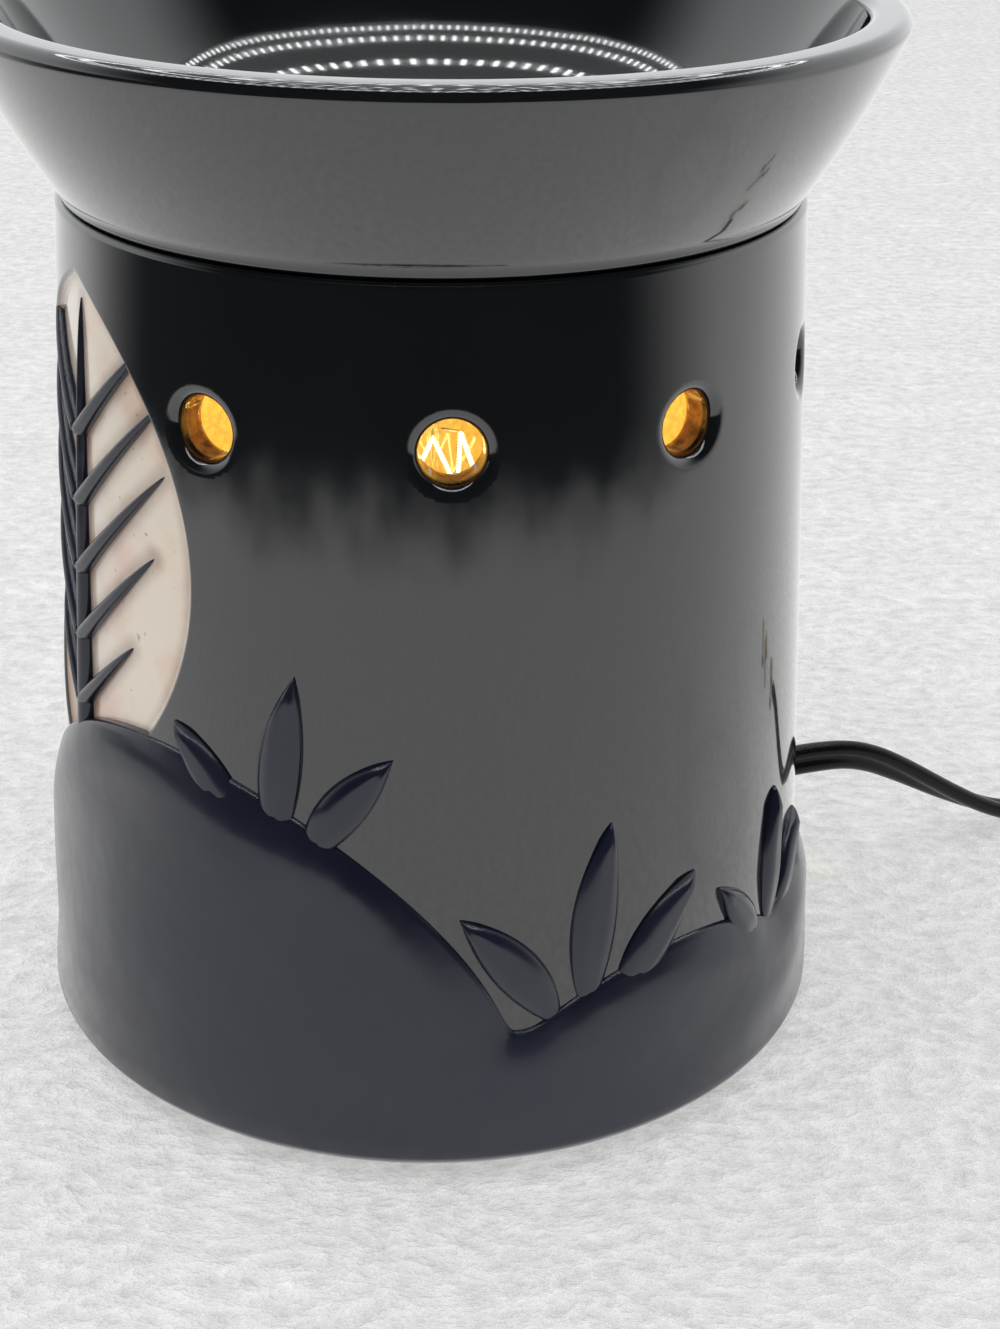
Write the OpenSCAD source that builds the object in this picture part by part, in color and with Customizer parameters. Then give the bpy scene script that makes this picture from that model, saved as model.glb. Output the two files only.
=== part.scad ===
// Electric wax warmer: a glazed ceramic body with a lamp inside, a lift-off wax dish and a mains lead.
// Millimetres. The table is z = 0, the body stands on the Z axis and the viewer is on the -Y side.
// An azimuth is measured round the body from the viewer's side, to the viewer's right.

/* [Body] */
// Height of the body's top rim above the table
body_h = 122; // [116:1:140]
// Outer radius of the body at the table
base_r = 56; // [53:0.5:60]
// Outer radius of the body at its top rim
top_r = 50; // [47:0.5:52]
// Thickness of the body's wall
wall_t = 5; // [4:0.25:6]
// Thickness of the body's floor
floor_t = 5; // [4:0.5:7]
// Depth of the hollow under the floor
hollow_h = 6.5; // [6.5:0.5:9]
// Width of the foot ring round that hollow
foot_w = 14; // [12:0.5:18]
// Rounding of the foot's outer edge
foot_round = 3; // [1.5:0.5:4]
// Rounding of the top rim's outer edge
rim_round = 1.5; // [0.5:0.25:2]
// Rounding where the wall meets the floor inside
floor_round = 4; // [2:0.5:6]

/* [Vents] */
// Number of places for round vents round the body
vent_count = 10; // [6:1:10]
// Clear diameter of a vent
vent_d = 8; // [5:0.5:9]
// Diameter of a vent's rounded mouth
vent_mouth_d = 12; // [10:0.5:13]
// Depth of that mouth
vent_mouth_depth = 2; // [1:0.25:3]
// Height of the body's rim above the vents' centres
vent_drop = 20.4; // [14:0.2:24]
// Azimuth of the front vent
vent_az = 2.6; // [-15:0.2:15]
// Angle to each side of the large leaf's middle that has no vents
vent_free = 20; // [15:1:25]

/* [Relief] */
// How far the rolling ground stands out
ground_t = 2; // [1:0.25:3]
// Height above the foot ring at which the ground starts
ground_start = 1.2; // [1:0.2:3]
// How far the tufts of blades stand out
tuft_t = 1.5; // [0.75:0.25:2.5]
// Length of a tuft's middle blade
blade_l = 26; // [18:1:30]
// Width of a blade
blade_w = 6; // [4:0.5:8]
// Lean of a tuft's outer blades
blade_lean = 27; // [18:1:40]
// Azimuth of the large leaf
leaf_az = -64; // [-75:1:-62]
// Height of the large leaf's foot
leaf_z = 44; // [40:1:45]
// Length of the large leaf
leaf_l = 72; // [60:1:74]
// Width of the large leaf
leaf_w = 50; // [36:1:52]
// How far the leaf's face is sunk into the body
leaf_sink = 1; // [0.5:0.1:1.5]
// How far the leaf's ribs stand out from the body
rib_t = 0.8; // [0.4:0.1:1.5]
// Width of the middle rib at its foot
rib_w = 4; // [2:0.2:4.4]
// Number of side veins on each half of the leaf
vein_count = 5; // [3:1:6]
// Angle between the middle rib and the veins
vein_angle = 50; // [35:1:60]

/* [Feet] */
// Number of foot pads
pad_count = 4; // [3:1:6]
// Radius of a foot pad
pad_r = 4; // [3:0.5:5]
// Thickness of a foot pad
pad_h = 1.5; // [1:0.25:2.5]

/* [Wax dish] */
// Height of the dish's rim above the body's rim
dish_h = 24.5; // [20:0.5:30]
// Outer radius of the dish's rim
dish_r = 61.5; // [58:0.5:66]
// Bulge of the dish's outer wall
dish_bulge = 0.6; // [0.2:0.1:1.2]
// Width of the rim
dish_rim_w = 5.5; // [5:0.25:6.5]
// Radius of the rim's rounding
lip_r = 1.9; // [1.2:0.1:2.2]
// How far the rim overhangs the dish's wall
lip_proud = 0.5; // [0.2:0.1:0.8]
// Thickness of the dish's floor
dish_floor_t = 5; // [4:0.5:6]
// Depth of the dish's underside below the body's rim
dish_sink = 8.5; // [7:0.5:9]
// Rounding of the bowl between its wall and floor
bowl_round = 32; // [26:1:34]
// Rounding of the dish's lower edge
dish_edge_round = 1.2; // [0.5:0.1:2]
// How far the dish's foot stands in from the body's rim
dish_step = 0.5; // [0:0.1:1.5]
// Gap between the dish and the body's rim
seat_gap = 0.1; // [0.05:0.05:0.3]
// Gap between the dish's spigot and the body's wall
spigot_gap = 0.5; // [0.3:0.1:1]
// Width of the ring that the spigot stands on
spigot_w = 3.5; // [2.5:0.5:5]

/* [Stem] */
// Radius of the threaded stem
stem_r = 4.9; // [4:0.1:5.5]
// Radius of the stem's bore
stem_bore_r = 3.4; // [2.5:0.1:3.6]
// Gap between the stem and the hole in the floor
stem_gap = 0.6; // [0.3:0.1:1]
// Gap between the stem and what is threaded on it
thread_gap = 0.05; // [0.02:0.01:0.1]
// Thread that shows past each nut
stem_end = 1; // [0.5:0.25:1.5]
// Width of a stem nut across its flats
nut_af = 14; // [13:0.5:16]
// Thickness of a stem nut
nut_t = 3; // [2:0.5:3.5]
// Radius of the washer under the floor
washer_r = 12; // [9:0.5:16]
// Thickness of that washer
washer_t = 1; // [0.5:0.25:1.5]
// Thickness of the gasket on the floor
gasket_t = 1; // [0.5:0.25:2]

/* [Lamp socket] */
// Outer radius of the socket's metal cup
cup_r = 13.2; // [12.5:0.2:15]
// Height of the cup
cup_h = 10; // [8:0.5:11]
// Thickness of the cup's metal
cup_t = 0.8; // [0.6:0.1:1.2]
// Depth to which the socket body stands in the cup
plinth_h = 3; // [2:0.5:3.5]
// Thickness of the socket body's flange
flange_t = 3; // [2:0.5:4]
// Radius of the socket body
socket_r = 11.5; // [10:0.25:12]
// Height of the socket's mouth above the bulb's tip
socket_cover = 14; // [12:0.5:15]
// Gap between the socket's pieces
socket_gap = 0.1; // [0.05:0.05:0.2]
// Thickness of the screw shell
shell_t = 0.4; // [0.3:0.05:0.6]
// Gap between the screw shell and the bulb's cap
shell_gap = 0.3; // [0.3:0.05:0.5]
// Height of the centre contact
contact_h = 1.5; // [1:0.25:2]
// Gap between the centre contact and the bulb's tip
contact_gap = 0.2; // [0.1:0.05:0.4]
// Gap between the centre contact and the screw shell
contact_side = 2; // [1:0.25:2.5]
// Height of the terminals above the socket body's flange
terminal_lift = 1.5; // [1:0.25:2.5]
// Width of a terminal plate
terminal_w = 7; // [6:0.5:8]
// Height of a terminal plate
terminal_h = 9; // [8:0.5:10]
// Thickness of a terminal plate
terminal_t = 1; // [0.6:0.1:1.2]
// Depth of a terminal plate's face in the socket body
terminal_sink = 1; // [0.5:0.25:1.5]
// Radius of a terminal screw's head
terminal_head_r = 2.6; // [2:0.1:3]
// Thickness of that head
terminal_head_t = 1.6; // [1:0.1:2]
// Radius of a terminal screw's shank
terminal_shank_r = 1.2; // [0.8:0.1:1.5]
// Porcelain left between that shank and the screw shell
shank_wall = 0.8; // [0.5:0.1:1.2]
// Angle of each terminal from the side where the cord comes in
terminal_az = 60; // [50:5:75]

/* [Bulb] */
// Length of the bulb
bulb_l = 59; // [56:0.5:60]
// Radius of the bulb's globe
globe_r = 20; // [17:0.5:22]
// Radius of the bulb's neck
neck_r = 5.5; // [5:0.1:5.6]
// Radius of the curve between neck and globe
neck_blend = 6; // [4:0.5:7]
// Thickness of the glass
glass_t = 0.6; // [0.4:0.1:0.9]
// Outer radius of the screw cap
cap_r = 5.95; // [5.8:0.05:6.2]
// Thickness of the cap's metal
cap_t = 0.3; // [0.2:0.05:0.3]
// Length of the cap
cap_l = 12; // [10:0.5:12]
// Height of the cap's glass insulator
insulator_h = 2.8; // [2:0.2:3.5]
// Height of the solder tip
tip_h = 1.2; // [0.8:0.1:1.5]
// Radius of the solder tip
tip_r = 2.4; // [2:0.1:3]
// Height of the glass stem's pinch above the cap
pinch_h = 10; // [7:0.5:12]
// Length of that pinch
pinch_l = 5; // [3:0.5:6]
// Radius of the glass rod in the bulb
arbor_r = 0.9; // [0.7:0.1:1.1]
// Free height over the bulb for unscrewing it
unscrew_room = 10.5; // [9.5:0.5:14]
// Height of the filament's feet above the bulb's tip
filament_z = 35.8; // [33:0.2:37]
// Height of the filament's zigzag
filament_h = 7.3; // [5:0.1:8]
// Radius of the circle of the filament's feet
filament_foot_r = 6.2; // [5:0.2:7]
// Radius of the circle of the filament's tops
filament_top_r = 4.2; // [3:0.2:5]
// Radius of the coiled filament wire
filament_wire_r = 0.3; // [0.2:0.05:0.4]
// Radius of the lead-in and support wires
support_r = 0.2; // [0.15:0.05:0.3]
// Gap at the ends of those wires
wire_gap = 0.1; // [0.05:0.05:0.2]

/* [Cord] */
// Width of the flat cord
cord_w = 5.2; // [5:0.1:5.4]
// Thickness of the flat cord
cord_t = 2.7; // [2.4:0.1:2.8]
// Height at which the cord leaves the body
cord_z = 21.5; // [21:0.5:22]
// Gap between the turns of the coil
turn_gap = 0.5; // [0.45:0.05:0.7]
// Outer radius of the coil at the cord's middle
coil_r = 35; // [34:0.5:36]
// Turns in each layer of the coil
coil_turns = 3; // [2:1:4]
// Gap between the coil and the tie under it
tie_gap = 0.05; // [0.05:0.05:0.2]
// Thickness of the tie
tie_t = 0.6; // [0.4:0.1:0.8]
// Width of the tie
tie_w = 9; // [6:1:12]
// Radius of the grommet's neck in the wall
grommet_r = 4.9; // [4:0.1:6]
// Radius of the grommet's flanges
grommet_flange_r = 6.6; // [6:0.2:8]
// Thickness of the grommet's flanges
grommet_flange_t = 2; // [1:0.25:2.5]
// Gap between the grommet, the cord and the wall
grommet_gap = 0.1; // [0.05:0.05:0.3]
// Distance that the grommet's flanges keep from the curved wall
grommet_stand = 0.5; // [0.4:0.1:1]
// Radius of an inner lead
lead_r = 0.9; // [0.7:0.1:1]

/* [Cord switch] */
// Length of the switch
switch_l = 50; // [46:1:52]
// Width of the switch
switch_w = 18; // [17:0.5:20]
// Height of the switch
switch_h = 12; // [11.5:0.5:13]
// Thickness of the switch's covers
switch_t = 1.6; // [1.2:0.1:2]
// Gap between the switch's pieces
switch_gap = 0.3; // [0.2:0.05:0.4]
// Radius of the thumbwheel
wheel_r = 8; // [7:0.25:8.5]
// Thickness of the thumbwheel
wheel_t = 4.6; // [3.5:0.2:5]
// How far the thumbwheel stands out of the switch's side
wheel_proud = 2.5; // [1.5:0.25:3]
// Number of grip grooves on the thumbwheel
groove_count = 24; // [16:1:30]
// Radius of a grip groove
groove_r = 0.5; // [0.3:0.1:0.7]
// Radius of the thumbwheel's axle
axle_r = 1.2; // [0.8:0.1:1.5]
// Running clearance between the thumbwheel and its axle
axle_gap = 0.05; // [0.02:0.01:0.08]
// Depth of the axle's seats in the covers
axle_seat = 1; // [0.5:0.1:1.1]
// Distance of the cover screws from the switch's middle
screw_x = 14; // [12:0.5:15]
// Radius of a cover screw's shank
screw_r = 1.2; // [1:0.1:1.4]
// Radius of a cover screw's head
screw_head_r = 2.2; // [1.8:0.1:2.4]
// Thickness of a cover screw's head
screw_head_t = 1.2; // [0.8:0.1:1.4]
// Radius of the pillars that the cover screws go through
pillar_r = 3.2; // [2.8:0.1:3.6]
// Width of a contact strip
strip_w = 3; // [2:0.5:3.5]
// Thickness of a contact strip
strip_t = 0.8; // [0.5:0.1:1]
// Length of a contact strip's foot
strip_foot = 2.5; // [2:0.5:3]
// Distance of the contact strips from the switch's middle line
strip_y = 5.5; // [5.2:0.1:6]

/* [Plug] */
// Length of the plug's body
plug_l = 24; // [20:1:28]
// Width of the plug's body
plug_w = 24; // [22:0.5:28]
// Length of the plug's tapered sleeve
sleeve_l = 26; // [20:1:34]
// Radius of the sleeve at the cord
sleeve_r = 3.4; // [3:0.1:4]
// Radius of the sleeve at the plug's body
sleeve_root_r = 6; // [5:0.25:7]
// Distance between the blades
blade_pitch = 12.7; // [12.5:0.1:13]
// Height of a blade
prong_w = 6.35; // [6:0.05:6.6]
// Thickness of a blade
prong_t = 1.5; // [1.3:0.05:1.6]
// Free length of a blade
prong_l = 16.5; // [15:0.5:18]
// Length of a blade inside the plug
prong_root = 8; // [5:1:12]
// Radius of the hole in a blade
prong_hole_r = 1.6; // [1:0.1:1.8]
// Gap round a blade's root
prong_gap = 0.02; // [0.01:0.01:0.05]

/* [Hidden] */
$fn = 96;

// Colours
glaze_black = "#17181b";
fired_clay = "#d9b48f";
steel = "#b9bcc0";
brass = "#c9a24a";
porcelain = "#e9e4d8";
clear_glass = [0.85, 0.92, 0.95, 0.35];
soft_black = "#1b1b1c";
tungsten = "#ffd58a";

// Levels and radii of the body
foot_z = pad_h;
hollow_r = base_r - foot_w;
floor_z = foot_z + hollow_h;
floor_top = floor_z + floor_t;
pad_ring_r = (hollow_r + base_r - foot_round) / 2;
vent_z = body_h - vent_drop;
vent_places = [for (i = [0:vent_count - 1]) let (az = vent_az + 360 * i / vent_count)
    if (cos(az - leaf_az) < cos(vent_free)) az];
stem_hole_r = stem_r + stem_gap;
relief_from = top_r - 2 * wall_t;

// Levels and radii of the dish
seat_z = body_h + seat_gap;
rim_z = body_h + dish_h;
under_z = body_h - dish_sink;
bowl_z = under_z + dish_floor_t;
dish_foot_r = top_r - dish_step;
spigot_r = top_r - wall_t - spigot_gap;
lip_z = rim_z - lip_r;

// Levels of the lamp
gasket_top = floor_top + gasket_t;
cup_floor = gasket_top + cup_t;
cup_top = gasket_top + cup_h;
stem_low = floor_z - washer_t - nut_t - stem_end;
stem_high = cup_floor + nut_t + stem_end;
bulb_z = under_z - unscrew_room - bulb_l;
globe_z = bulb_z + bulb_l - globe_r;
cap_z = bulb_z + tip_h + insulator_h;
socket_top = bulb_z + socket_cover;
shell_r = cap_r + shell_gap;
contact_z = bulb_z - contact_gap - contact_h;
neck_z = cap_z + cap_l / 3;
neck_in_r = neck_r - glass_t;
pinch_z = cap_z + cap_l + pinch_h;
terminal_z = cup_top + flange_t + terminal_lift;
terminal_in = socket_r - terminal_t - terminal_sink;
terminal_shank_l = terminal_in - shell_r - shell_t - socket_gap - shank_wall;
filament_low = bulb_z + filament_z;
filament_high = filament_low + filament_h;
filament_az = [101, 34, -33, -100];
joint_swell = 1.2;

// The cord leaves the body along y = 0.4 x. Each point is x, y, z and the roll of the flat cord,
// which is 90 where the cord stands on its edge and 0 where it lies flat.
cord_az = 90 + atan(0.4);
cord_lead_route = [
    [40, 16, 21.5, 90], [48, 19.2, 21.5, 90], [56, 22.4, 21.5, 90], [62, 24.8, 21.4, 90], [68, 27.2, 20.7, 80],
    [73, 29.2, 18.9, 68], [78, 31.2, 16, 54], [83, 33.2, 12.7, 40], [88, 35.2, 9.4, 26], [93, 37.2, 6.4, 14],
    [98, 39.2, 3.9, 6], [103, 41.2, 2.3, 0], [108, 43.1, 1.6, 0], [113, 44.9, 1.5, 0], [119, 46.7, 2, 0],
    [125, 48, 3.5, 0], [131, 48.8, 5.1, 0], [136, 49, 5.8, 0], [140, 49, 6, 0]];
cord_middle_route = [
    [182, 49, 6, 0], [188, 49, 5.9, 12], [194, 49, 5.5, 35], [200, 48.4, 5, 60], [207, 45.8, 4.4, 80],
    [213, 41, 3.9, 90], [217, 34, 3.5, 90], [218, 27, 3.3, 90], [217, 20, 3.3, 90], [213, 13, 3.3, 90],
    [207, 8.2, 3.3, 90], [200, 5.6, 3.3, 90], [192, 5, 3.3, 90], [182, 5, 3.3, 90], [172, 5, 3.3, 90],
    [162, 5, 3.3, 90], [152, 5, 3.3, 90], [146, 5, 3.3, 90]];
coil_x = 140;
coil_low = 3.3;
coil_from = cord_middle_route[len(cord_middle_route) - 1].x;
coil_y = cord_middle_route[len(cord_middle_route) - 1].y - coil_r;
lead_a_route = [
    [40, 16, 22.8], [36, 14.4, 22.8], [31, 13.6, 23.2], [26, 14.4, 24.2], [20, 16.5, 26], [13, 17, 28],
    [6.5, 15.2, 28.8], [3, 12.9, 29], [1.75, 11.95, 29.2]];
lead_b_route = [
    [40, 16, 20.2], [36, 14.4, 20.2], [31, 10.5, 21.3], [27, 5.5, 23], [23, 0, 26], [18.5, -4, 28],
    [13.5, -7, 28.8], [10.8, -7.9, 29], [9.5, -7.45, 29.2]];

// Places on the cord
switch_x = 161;
switch_y = 49;
switch_mid = switch_h / 2;
switch_in = switch_t + switch_gap;
wheel_y = wheel_r - wheel_proud - switch_w / 2;
layer_h = cord_w + turn_gap;
turn_pitch = cord_t + turn_gap;
coil_high = coil_low + layer_h;
plug_h = 2 * coil_high;
plug_y = coil_y - coil_r;
sleeve_x = coil_x + cord_w;
plug_x = sleeve_x + sleeve_l;

// Relief on the body. A hill is its azimuth, the height of its crest and its radius.
HILLS = [[-165, 24, 42], [-108, 36, 38], [-42, 58, 44], [-4, 25, 40], [38, 30, 36], [76, 27, 30],
    [150, 32, 36]];
// A tuft is its azimuth, the height of its foot and its size
TUFTS = [[-22, 46, 1], [22, 22, 1.1], [60, 20, 0.9], [132, 22, 1], [168, 24, 1.2], [-150, 18, 0.9],
    [-118, 29, 1.1]];

// Outer radius of the plain body at a height
function body_radius(z) = base_r + (top_r - base_r) * z / body_h;

// Points of an arc in the plane of a profile
function arc(x, z, r, from, to, steps = 8) =
    [for (i = [0:steps]) let (a = from + (to - from) * i / steps) [x + r * cos(a), z + r * sin(a)]];

// Points from one profile point to another, bulging sideways by a given amount
function bulge(a, b, rise, steps = 10) =
    let (side = [b.y - a.y, a.x - b.x] / norm(b - a))
    [for (i = [0:steps]) let (t = i / steps) a + (b - a) * t + side * rise * 4 * t * (1 - t)];

// Rings of a tube of oval section round a route, then the tube's triangles
function unit(v) = v / norm(v);
function run(route, i) = let (n = len(route) - 1)
    unit(xyz(route[min(i + 1, n)]) - xyz(route[max(i - 1, 0)]));
function xyz(p) = [p.x, p.y, p.z];
function tube_ring(route, i, wide, thick, sides, first) =
    let (t = run(route, i), side = unit(cross(t, [0, 0, 1])), up = cross(side, t), roll = route[i][3],
         w = side * cos(roll) + up * sin(roll), h = up * cos(roll) - side * sin(roll))
    [for (k = [0:sides - 1]) let (a = first + 360 * k / sides)
        xyz(route[i]) + w * wide / 2 * cos(a) + h * thick / 2 * sin(a)];
function tube_points(route, wide, thick, sides, first = 0) =
    [for (i = [0:len(route) - 1]) each tube_ring(route, i, wide, thick, sides, first)];
function tube_faces(rings, sides) = concat(
    [for (i = [0:rings - 2], k = [0:sides - 1]) let (a = i * sides + k, b = i * sides + (k + 1) % sides)
        each [[a, a + sides, b], [b, a + sides, b + sides]]],
    [for (k = [1:sides - 2]) [0, k, k + 1]],
    [for (k = [1:sides - 2]) let (e = (rings - 1) * sides) [e, e + k + 1, e + k]]);

// The coil starts on the +Y side, spirals in, climbs a layer in half a turn and spirals out again
rings_per_turn = 24;
coil_rings = (2 * coil_turns + 0.5) * rings_per_turn;
function coil_point(i) =
    let (turn = i / rings_per_turn, a = 90 + 360 * turn, climb = min(max(turn - coil_turns, 0), 0.5) * 2,
         r = coil_r - turn_pitch * min(turn, 2 * coil_turns + 0.5 - turn))
    [coil_x + r * cos(a), coil_y + r * sin(a), coil_low + layer_h * (1 - cos(180 * climb)) / 2, 90];
coil_route = concat(
    [[coil_from, coil_y + coil_r, coil_low, 90], [coil_x + cord_w / 2, coil_y + coil_r, coil_low, 90]],
    [for (i = [0:coil_rings]) coil_point(i)],
    [[coil_x + cord_w / 2, plug_y, coil_high, 90], [sleeve_x, plug_y, coil_high, 90]]);
coil_sides = 6;
coil_skin = tube_points(coil_route, cord_w, cord_t, coil_sides);
coil_gap = min([for (i = [0:len(coil_route) - 1], j = [i + 12:1:len(coil_route) - 1])
    if (norm(xyz(coil_route[i]) - xyz(coil_route[j])) < cord_w + 3)
        min([for (a = [0:coil_sides - 1], b = [0:coil_sides - 1])
            norm(coil_skin[i * coil_sides + a] - coil_skin[j * coil_sides + b])])]);
echo(least_gap_of_the_coil_to_itself = coil_gap);

module tube(route, wide, thick, sides, first = 0) {
    polyhedron(tube_points(route, wide, thick, sides, first), tube_faces(len(route), sides), convexity = 8);
}

// Turns a piece that points along +X to an azimuth
module radial(az) {
    rotate(az - 90) children();
}

// Carries an outline, drawn as it is seen from outside, outwards through the wall at an azimuth
module through_wall(az, from) {
    radial(az) rotate([90, 0, 90]) translate([0, 0, from]) linear_extrude(base_r + 12 - from) children();
}

// A thin conical shell on the body, from one depth to another
module skin(low, high, z0, z1) {
    rotate_extrude() polygon([[body_radius(z0) + low, z0], [body_radius(z0) + high, z0],
        [body_radius(z1) + high, z1], [body_radius(z1) + low, z1]]);
}

module rod(a, b, r) {
    d = b - a;
    translate(a) rotate([0, acos(d.z / norm(d)), atan2(d.y, d.x)]) cylinder(h = norm(d), r = r, $fn = 24);
}

// A pointed leaf that stands on the origin
module leaf_outline(l, w) {
    r = (l * l + w * w) / (4 * w);
    intersection() {
        translate([r - w / 2, l / 2]) circle(r);
        translate([w / 2 - r, l / 2]) circle(r);
    }
}

// Half the width of the large leaf at a height above its foot
function leaf_half(y) = let (r = (leaf_l * leaf_l + leaf_w * leaf_w) / (4 * leaf_w))
    sqrt(r * r - pow(y - leaf_l / 2, 2)) - r + leaf_w / 2;

module leaf_ribs() {
    polygon([[-rib_w / 2, 0], [rib_w / 2, 0], [rib_w / 6, leaf_l - rib_w], [-rib_w / 6, leaf_l - rib_w]]);
    for (i = [1:vein_count], side = [-1, 1]) {
        y = leaf_l * (i + 0.3) / (vein_count + 2.5);
        l = 0.8 * leaf_half(y) / sin(vein_angle);
        translate([0, y]) rotate(-side * vein_angle)
            polygon([[-rib_w / 3, 0], [rib_w / 3, 0], [rib_w / 8, l], [-rib_w / 8, l]]);
    }
}

module ground_relief() {
    low = foot_z + ground_start;
    high = max([for (h = HILLS) h[1]]) + 1;
    // Deeper than the leaf's face, so that a hill also joins the wall where it covers the leaf
    root = leaf_sink + 1;
    intersection() {
        rotate_extrude() polygon([[body_radius(low) - root, low], [body_radius(low) + ground_t / 4, low],
            [body_radius(low) + ground_t, low + ground_t], [body_radius(high) + ground_t, high],
            [body_radius(high) - root, high]]);
        union() for (h = HILLS) through_wall(h[0], base_r / 4) translate([0, h[1] - h[2]]) circle(h[2]);
    }
}

module tuft_relief() {
    low = min([for (t = TUFTS) t[1]]) - 1;
    high = max([for (t = TUFTS) t[1] + t[2] * blade_l]) + 1;
    intersection() {
        skin(-1, tuft_t, low, high);
        union() for (t = TUFTS, side = [-1, 0, 1])
            through_wall(t[0], relief_from)
                translate([side * t[2] * blade_w * 0.6, t[1]]) rotate(-side * blade_lean)
                    leaf_outline(t[2] * blade_l * (side == 0 ? 1 : 0.75), t[2] * blade_w);
    }
}

module body_profile() {
    in_low = body_radius(floor_top + floor_round) - wall_t;
    polygon(concat(
        [[stem_hole_r, floor_z], [hollow_r, floor_z], [hollow_r, foot_z]],
        arc(body_radius(foot_z + foot_round) - foot_round, foot_z + foot_round, foot_round, -90, 0),
        arc(top_r - rim_round, body_h - rim_round, rim_round, 0, 90),
        [[top_r - wall_t, body_h]],
        arc(in_low - floor_round, floor_top + floor_round, floor_round, 0, -90),
        [[stem_hole_r, floor_top]]));
}

// A vent, bored outwards from inside the body, with its mouth hollowed by a ball
module vent() {
    mouth = vent_mouth_d / 2;
    bore = vent_d / 2;
    ball_out = (mouth * mouth - bore * bore - pow(vent_mouth_depth, 2)) / (2 * vent_mouth_depth);
    rotate([0, 90, 0]) translate([0, 0, body_radius(vent_z)]) {
        translate([0, 0, -2 * wall_t]) cylinder(h = 3 * wall_t, r = bore);
        translate([0, 0, ball_out]) sphere(norm([mouth, ball_out]));
    }
}

module body_shell() {
    color(glaze_black) difference() {
        union() {
            difference() {
                rotate_extrude() body_profile();
                intersection() {
                    skin(-leaf_sink, 6, leaf_z - 1, leaf_z + leaf_l + 1);
                    through_wall(leaf_az, relief_from) translate([0, leaf_z]) leaf_outline(leaf_l, leaf_w);
                }
            }
            intersection() {
                skin(-leaf_sink - 0.5, rib_t, leaf_z - 1, leaf_z + leaf_l + 1);
                through_wall(leaf_az, relief_from) translate([0, leaf_z]) leaf_ribs();
            }
            ground_relief();
            tuft_relief();
        }
        for (az = vent_places) radial(az) translate([0, 0, vent_z]) vent();
        radial(cord_az) translate([0, 0, cord_z]) rotate([0, 90, 0])
            cylinder(h = base_r + 10, r = grommet_r + grommet_gap);
    }
}

module dish_profile() {
    foot = [dish_foot_r, seat_z + dish_edge_round];
    brow = [dish_r - lip_proud, lip_z - lip_r / 2];
    lean = atan2(brow.x - foot.x, brow.y - foot.y);
    in_r = dish_r - dish_rim_w;
    bowl_x = in_r - (bowl_round - (bowl_z + bowl_round - lip_z) * sin(lean)) / cos(lean);
    under_r = bowl_round + dish_floor_t;
    ledge_r = spigot_r - spigot_w;
    ledge = acos((ledge_r - bowl_x) / under_r);
    ledge_z = bowl_z + bowl_round - under_r * sin(ledge);
    polygon(concat(
        [[0, under_z]],
        arc(bowl_x, bowl_z + bowl_round, under_r, -90, -ledge),
        [[spigot_r, ledge_z], [spigot_r, seat_z]],
        arc(dish_foot_r - dish_edge_round, seat_z + dish_edge_round, dish_edge_round, -90, lean - 15, 5),
        bulge(foot, brow, dish_bulge),
        arc(dish_r - lip_r, lip_z, lip_r, -30, 90),
        arc(in_r + lip_r, lip_z, lip_r, 90, 180),
        arc(bowl_x, bowl_z + bowl_round, bowl_round, -lean, -90, 14),
        [[0, bowl_z]]));
}

module wax_dish() {
    color(glaze_black) rotate_extrude() dish_profile();
}

module foot_pads() {
    color(soft_black) for (i = [0:pad_count - 1]) radial(45 + 360 * i / pad_count)
        translate([pad_ring_r, 0, 0]) cylinder(h = pad_h, r = pad_r);
}

module stem_nipple() {
    color(steel) translate([0, 0, stem_low]) difference() {
        cylinder(h = stem_high - stem_low, r = stem_r);
        translate([0, 0, -1]) cylinder(h = stem_high - stem_low + 2, r = stem_bore_r);
    }
}

module ring(z, h, r, in_r) {
    translate([0, 0, z]) difference() {
        cylinder(h = h, r = r);
        translate([0, 0, -1]) cylinder(h = h + 2, r = in_r);
    }
}

module stem_nuts() {
    color(steel) for (z = [floor_z - washer_t - nut_t, cup_floor]) translate([0, 0, z]) difference() {
        cylinder(h = nut_t, d = nut_af / cos(30), $fn = 6);
        translate([0, 0, -1]) cylinder(h = nut_t + 2, r = stem_r + thread_gap);
    }
}

module stem_washer() {
    color(steel) ring(floor_z - washer_t, washer_t, washer_r, stem_r + stem_gap / 2);
}

module stem_gasket() {
    color(soft_black) ring(floor_top, gasket_t, cup_r, stem_hole_r);
}

module socket_cup() {
    color(steel) {
        difference() {
            translate([0, 0, gasket_top]) cylinder(h = cup_h, r = cup_r);
            translate([0, 0, cup_floor]) cylinder(h = cup_h, r = cup_r - cup_t);
            translate([0, 0, gasket_top - 1]) cylinder(h = cup_h, r = stem_r + thread_gap);
        }
    }
}

module at_terminals() {
    for (side = [-1, 1]) radial(cord_az + side * terminal_az)
        translate([terminal_in, 0, terminal_z]) children();
}

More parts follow.
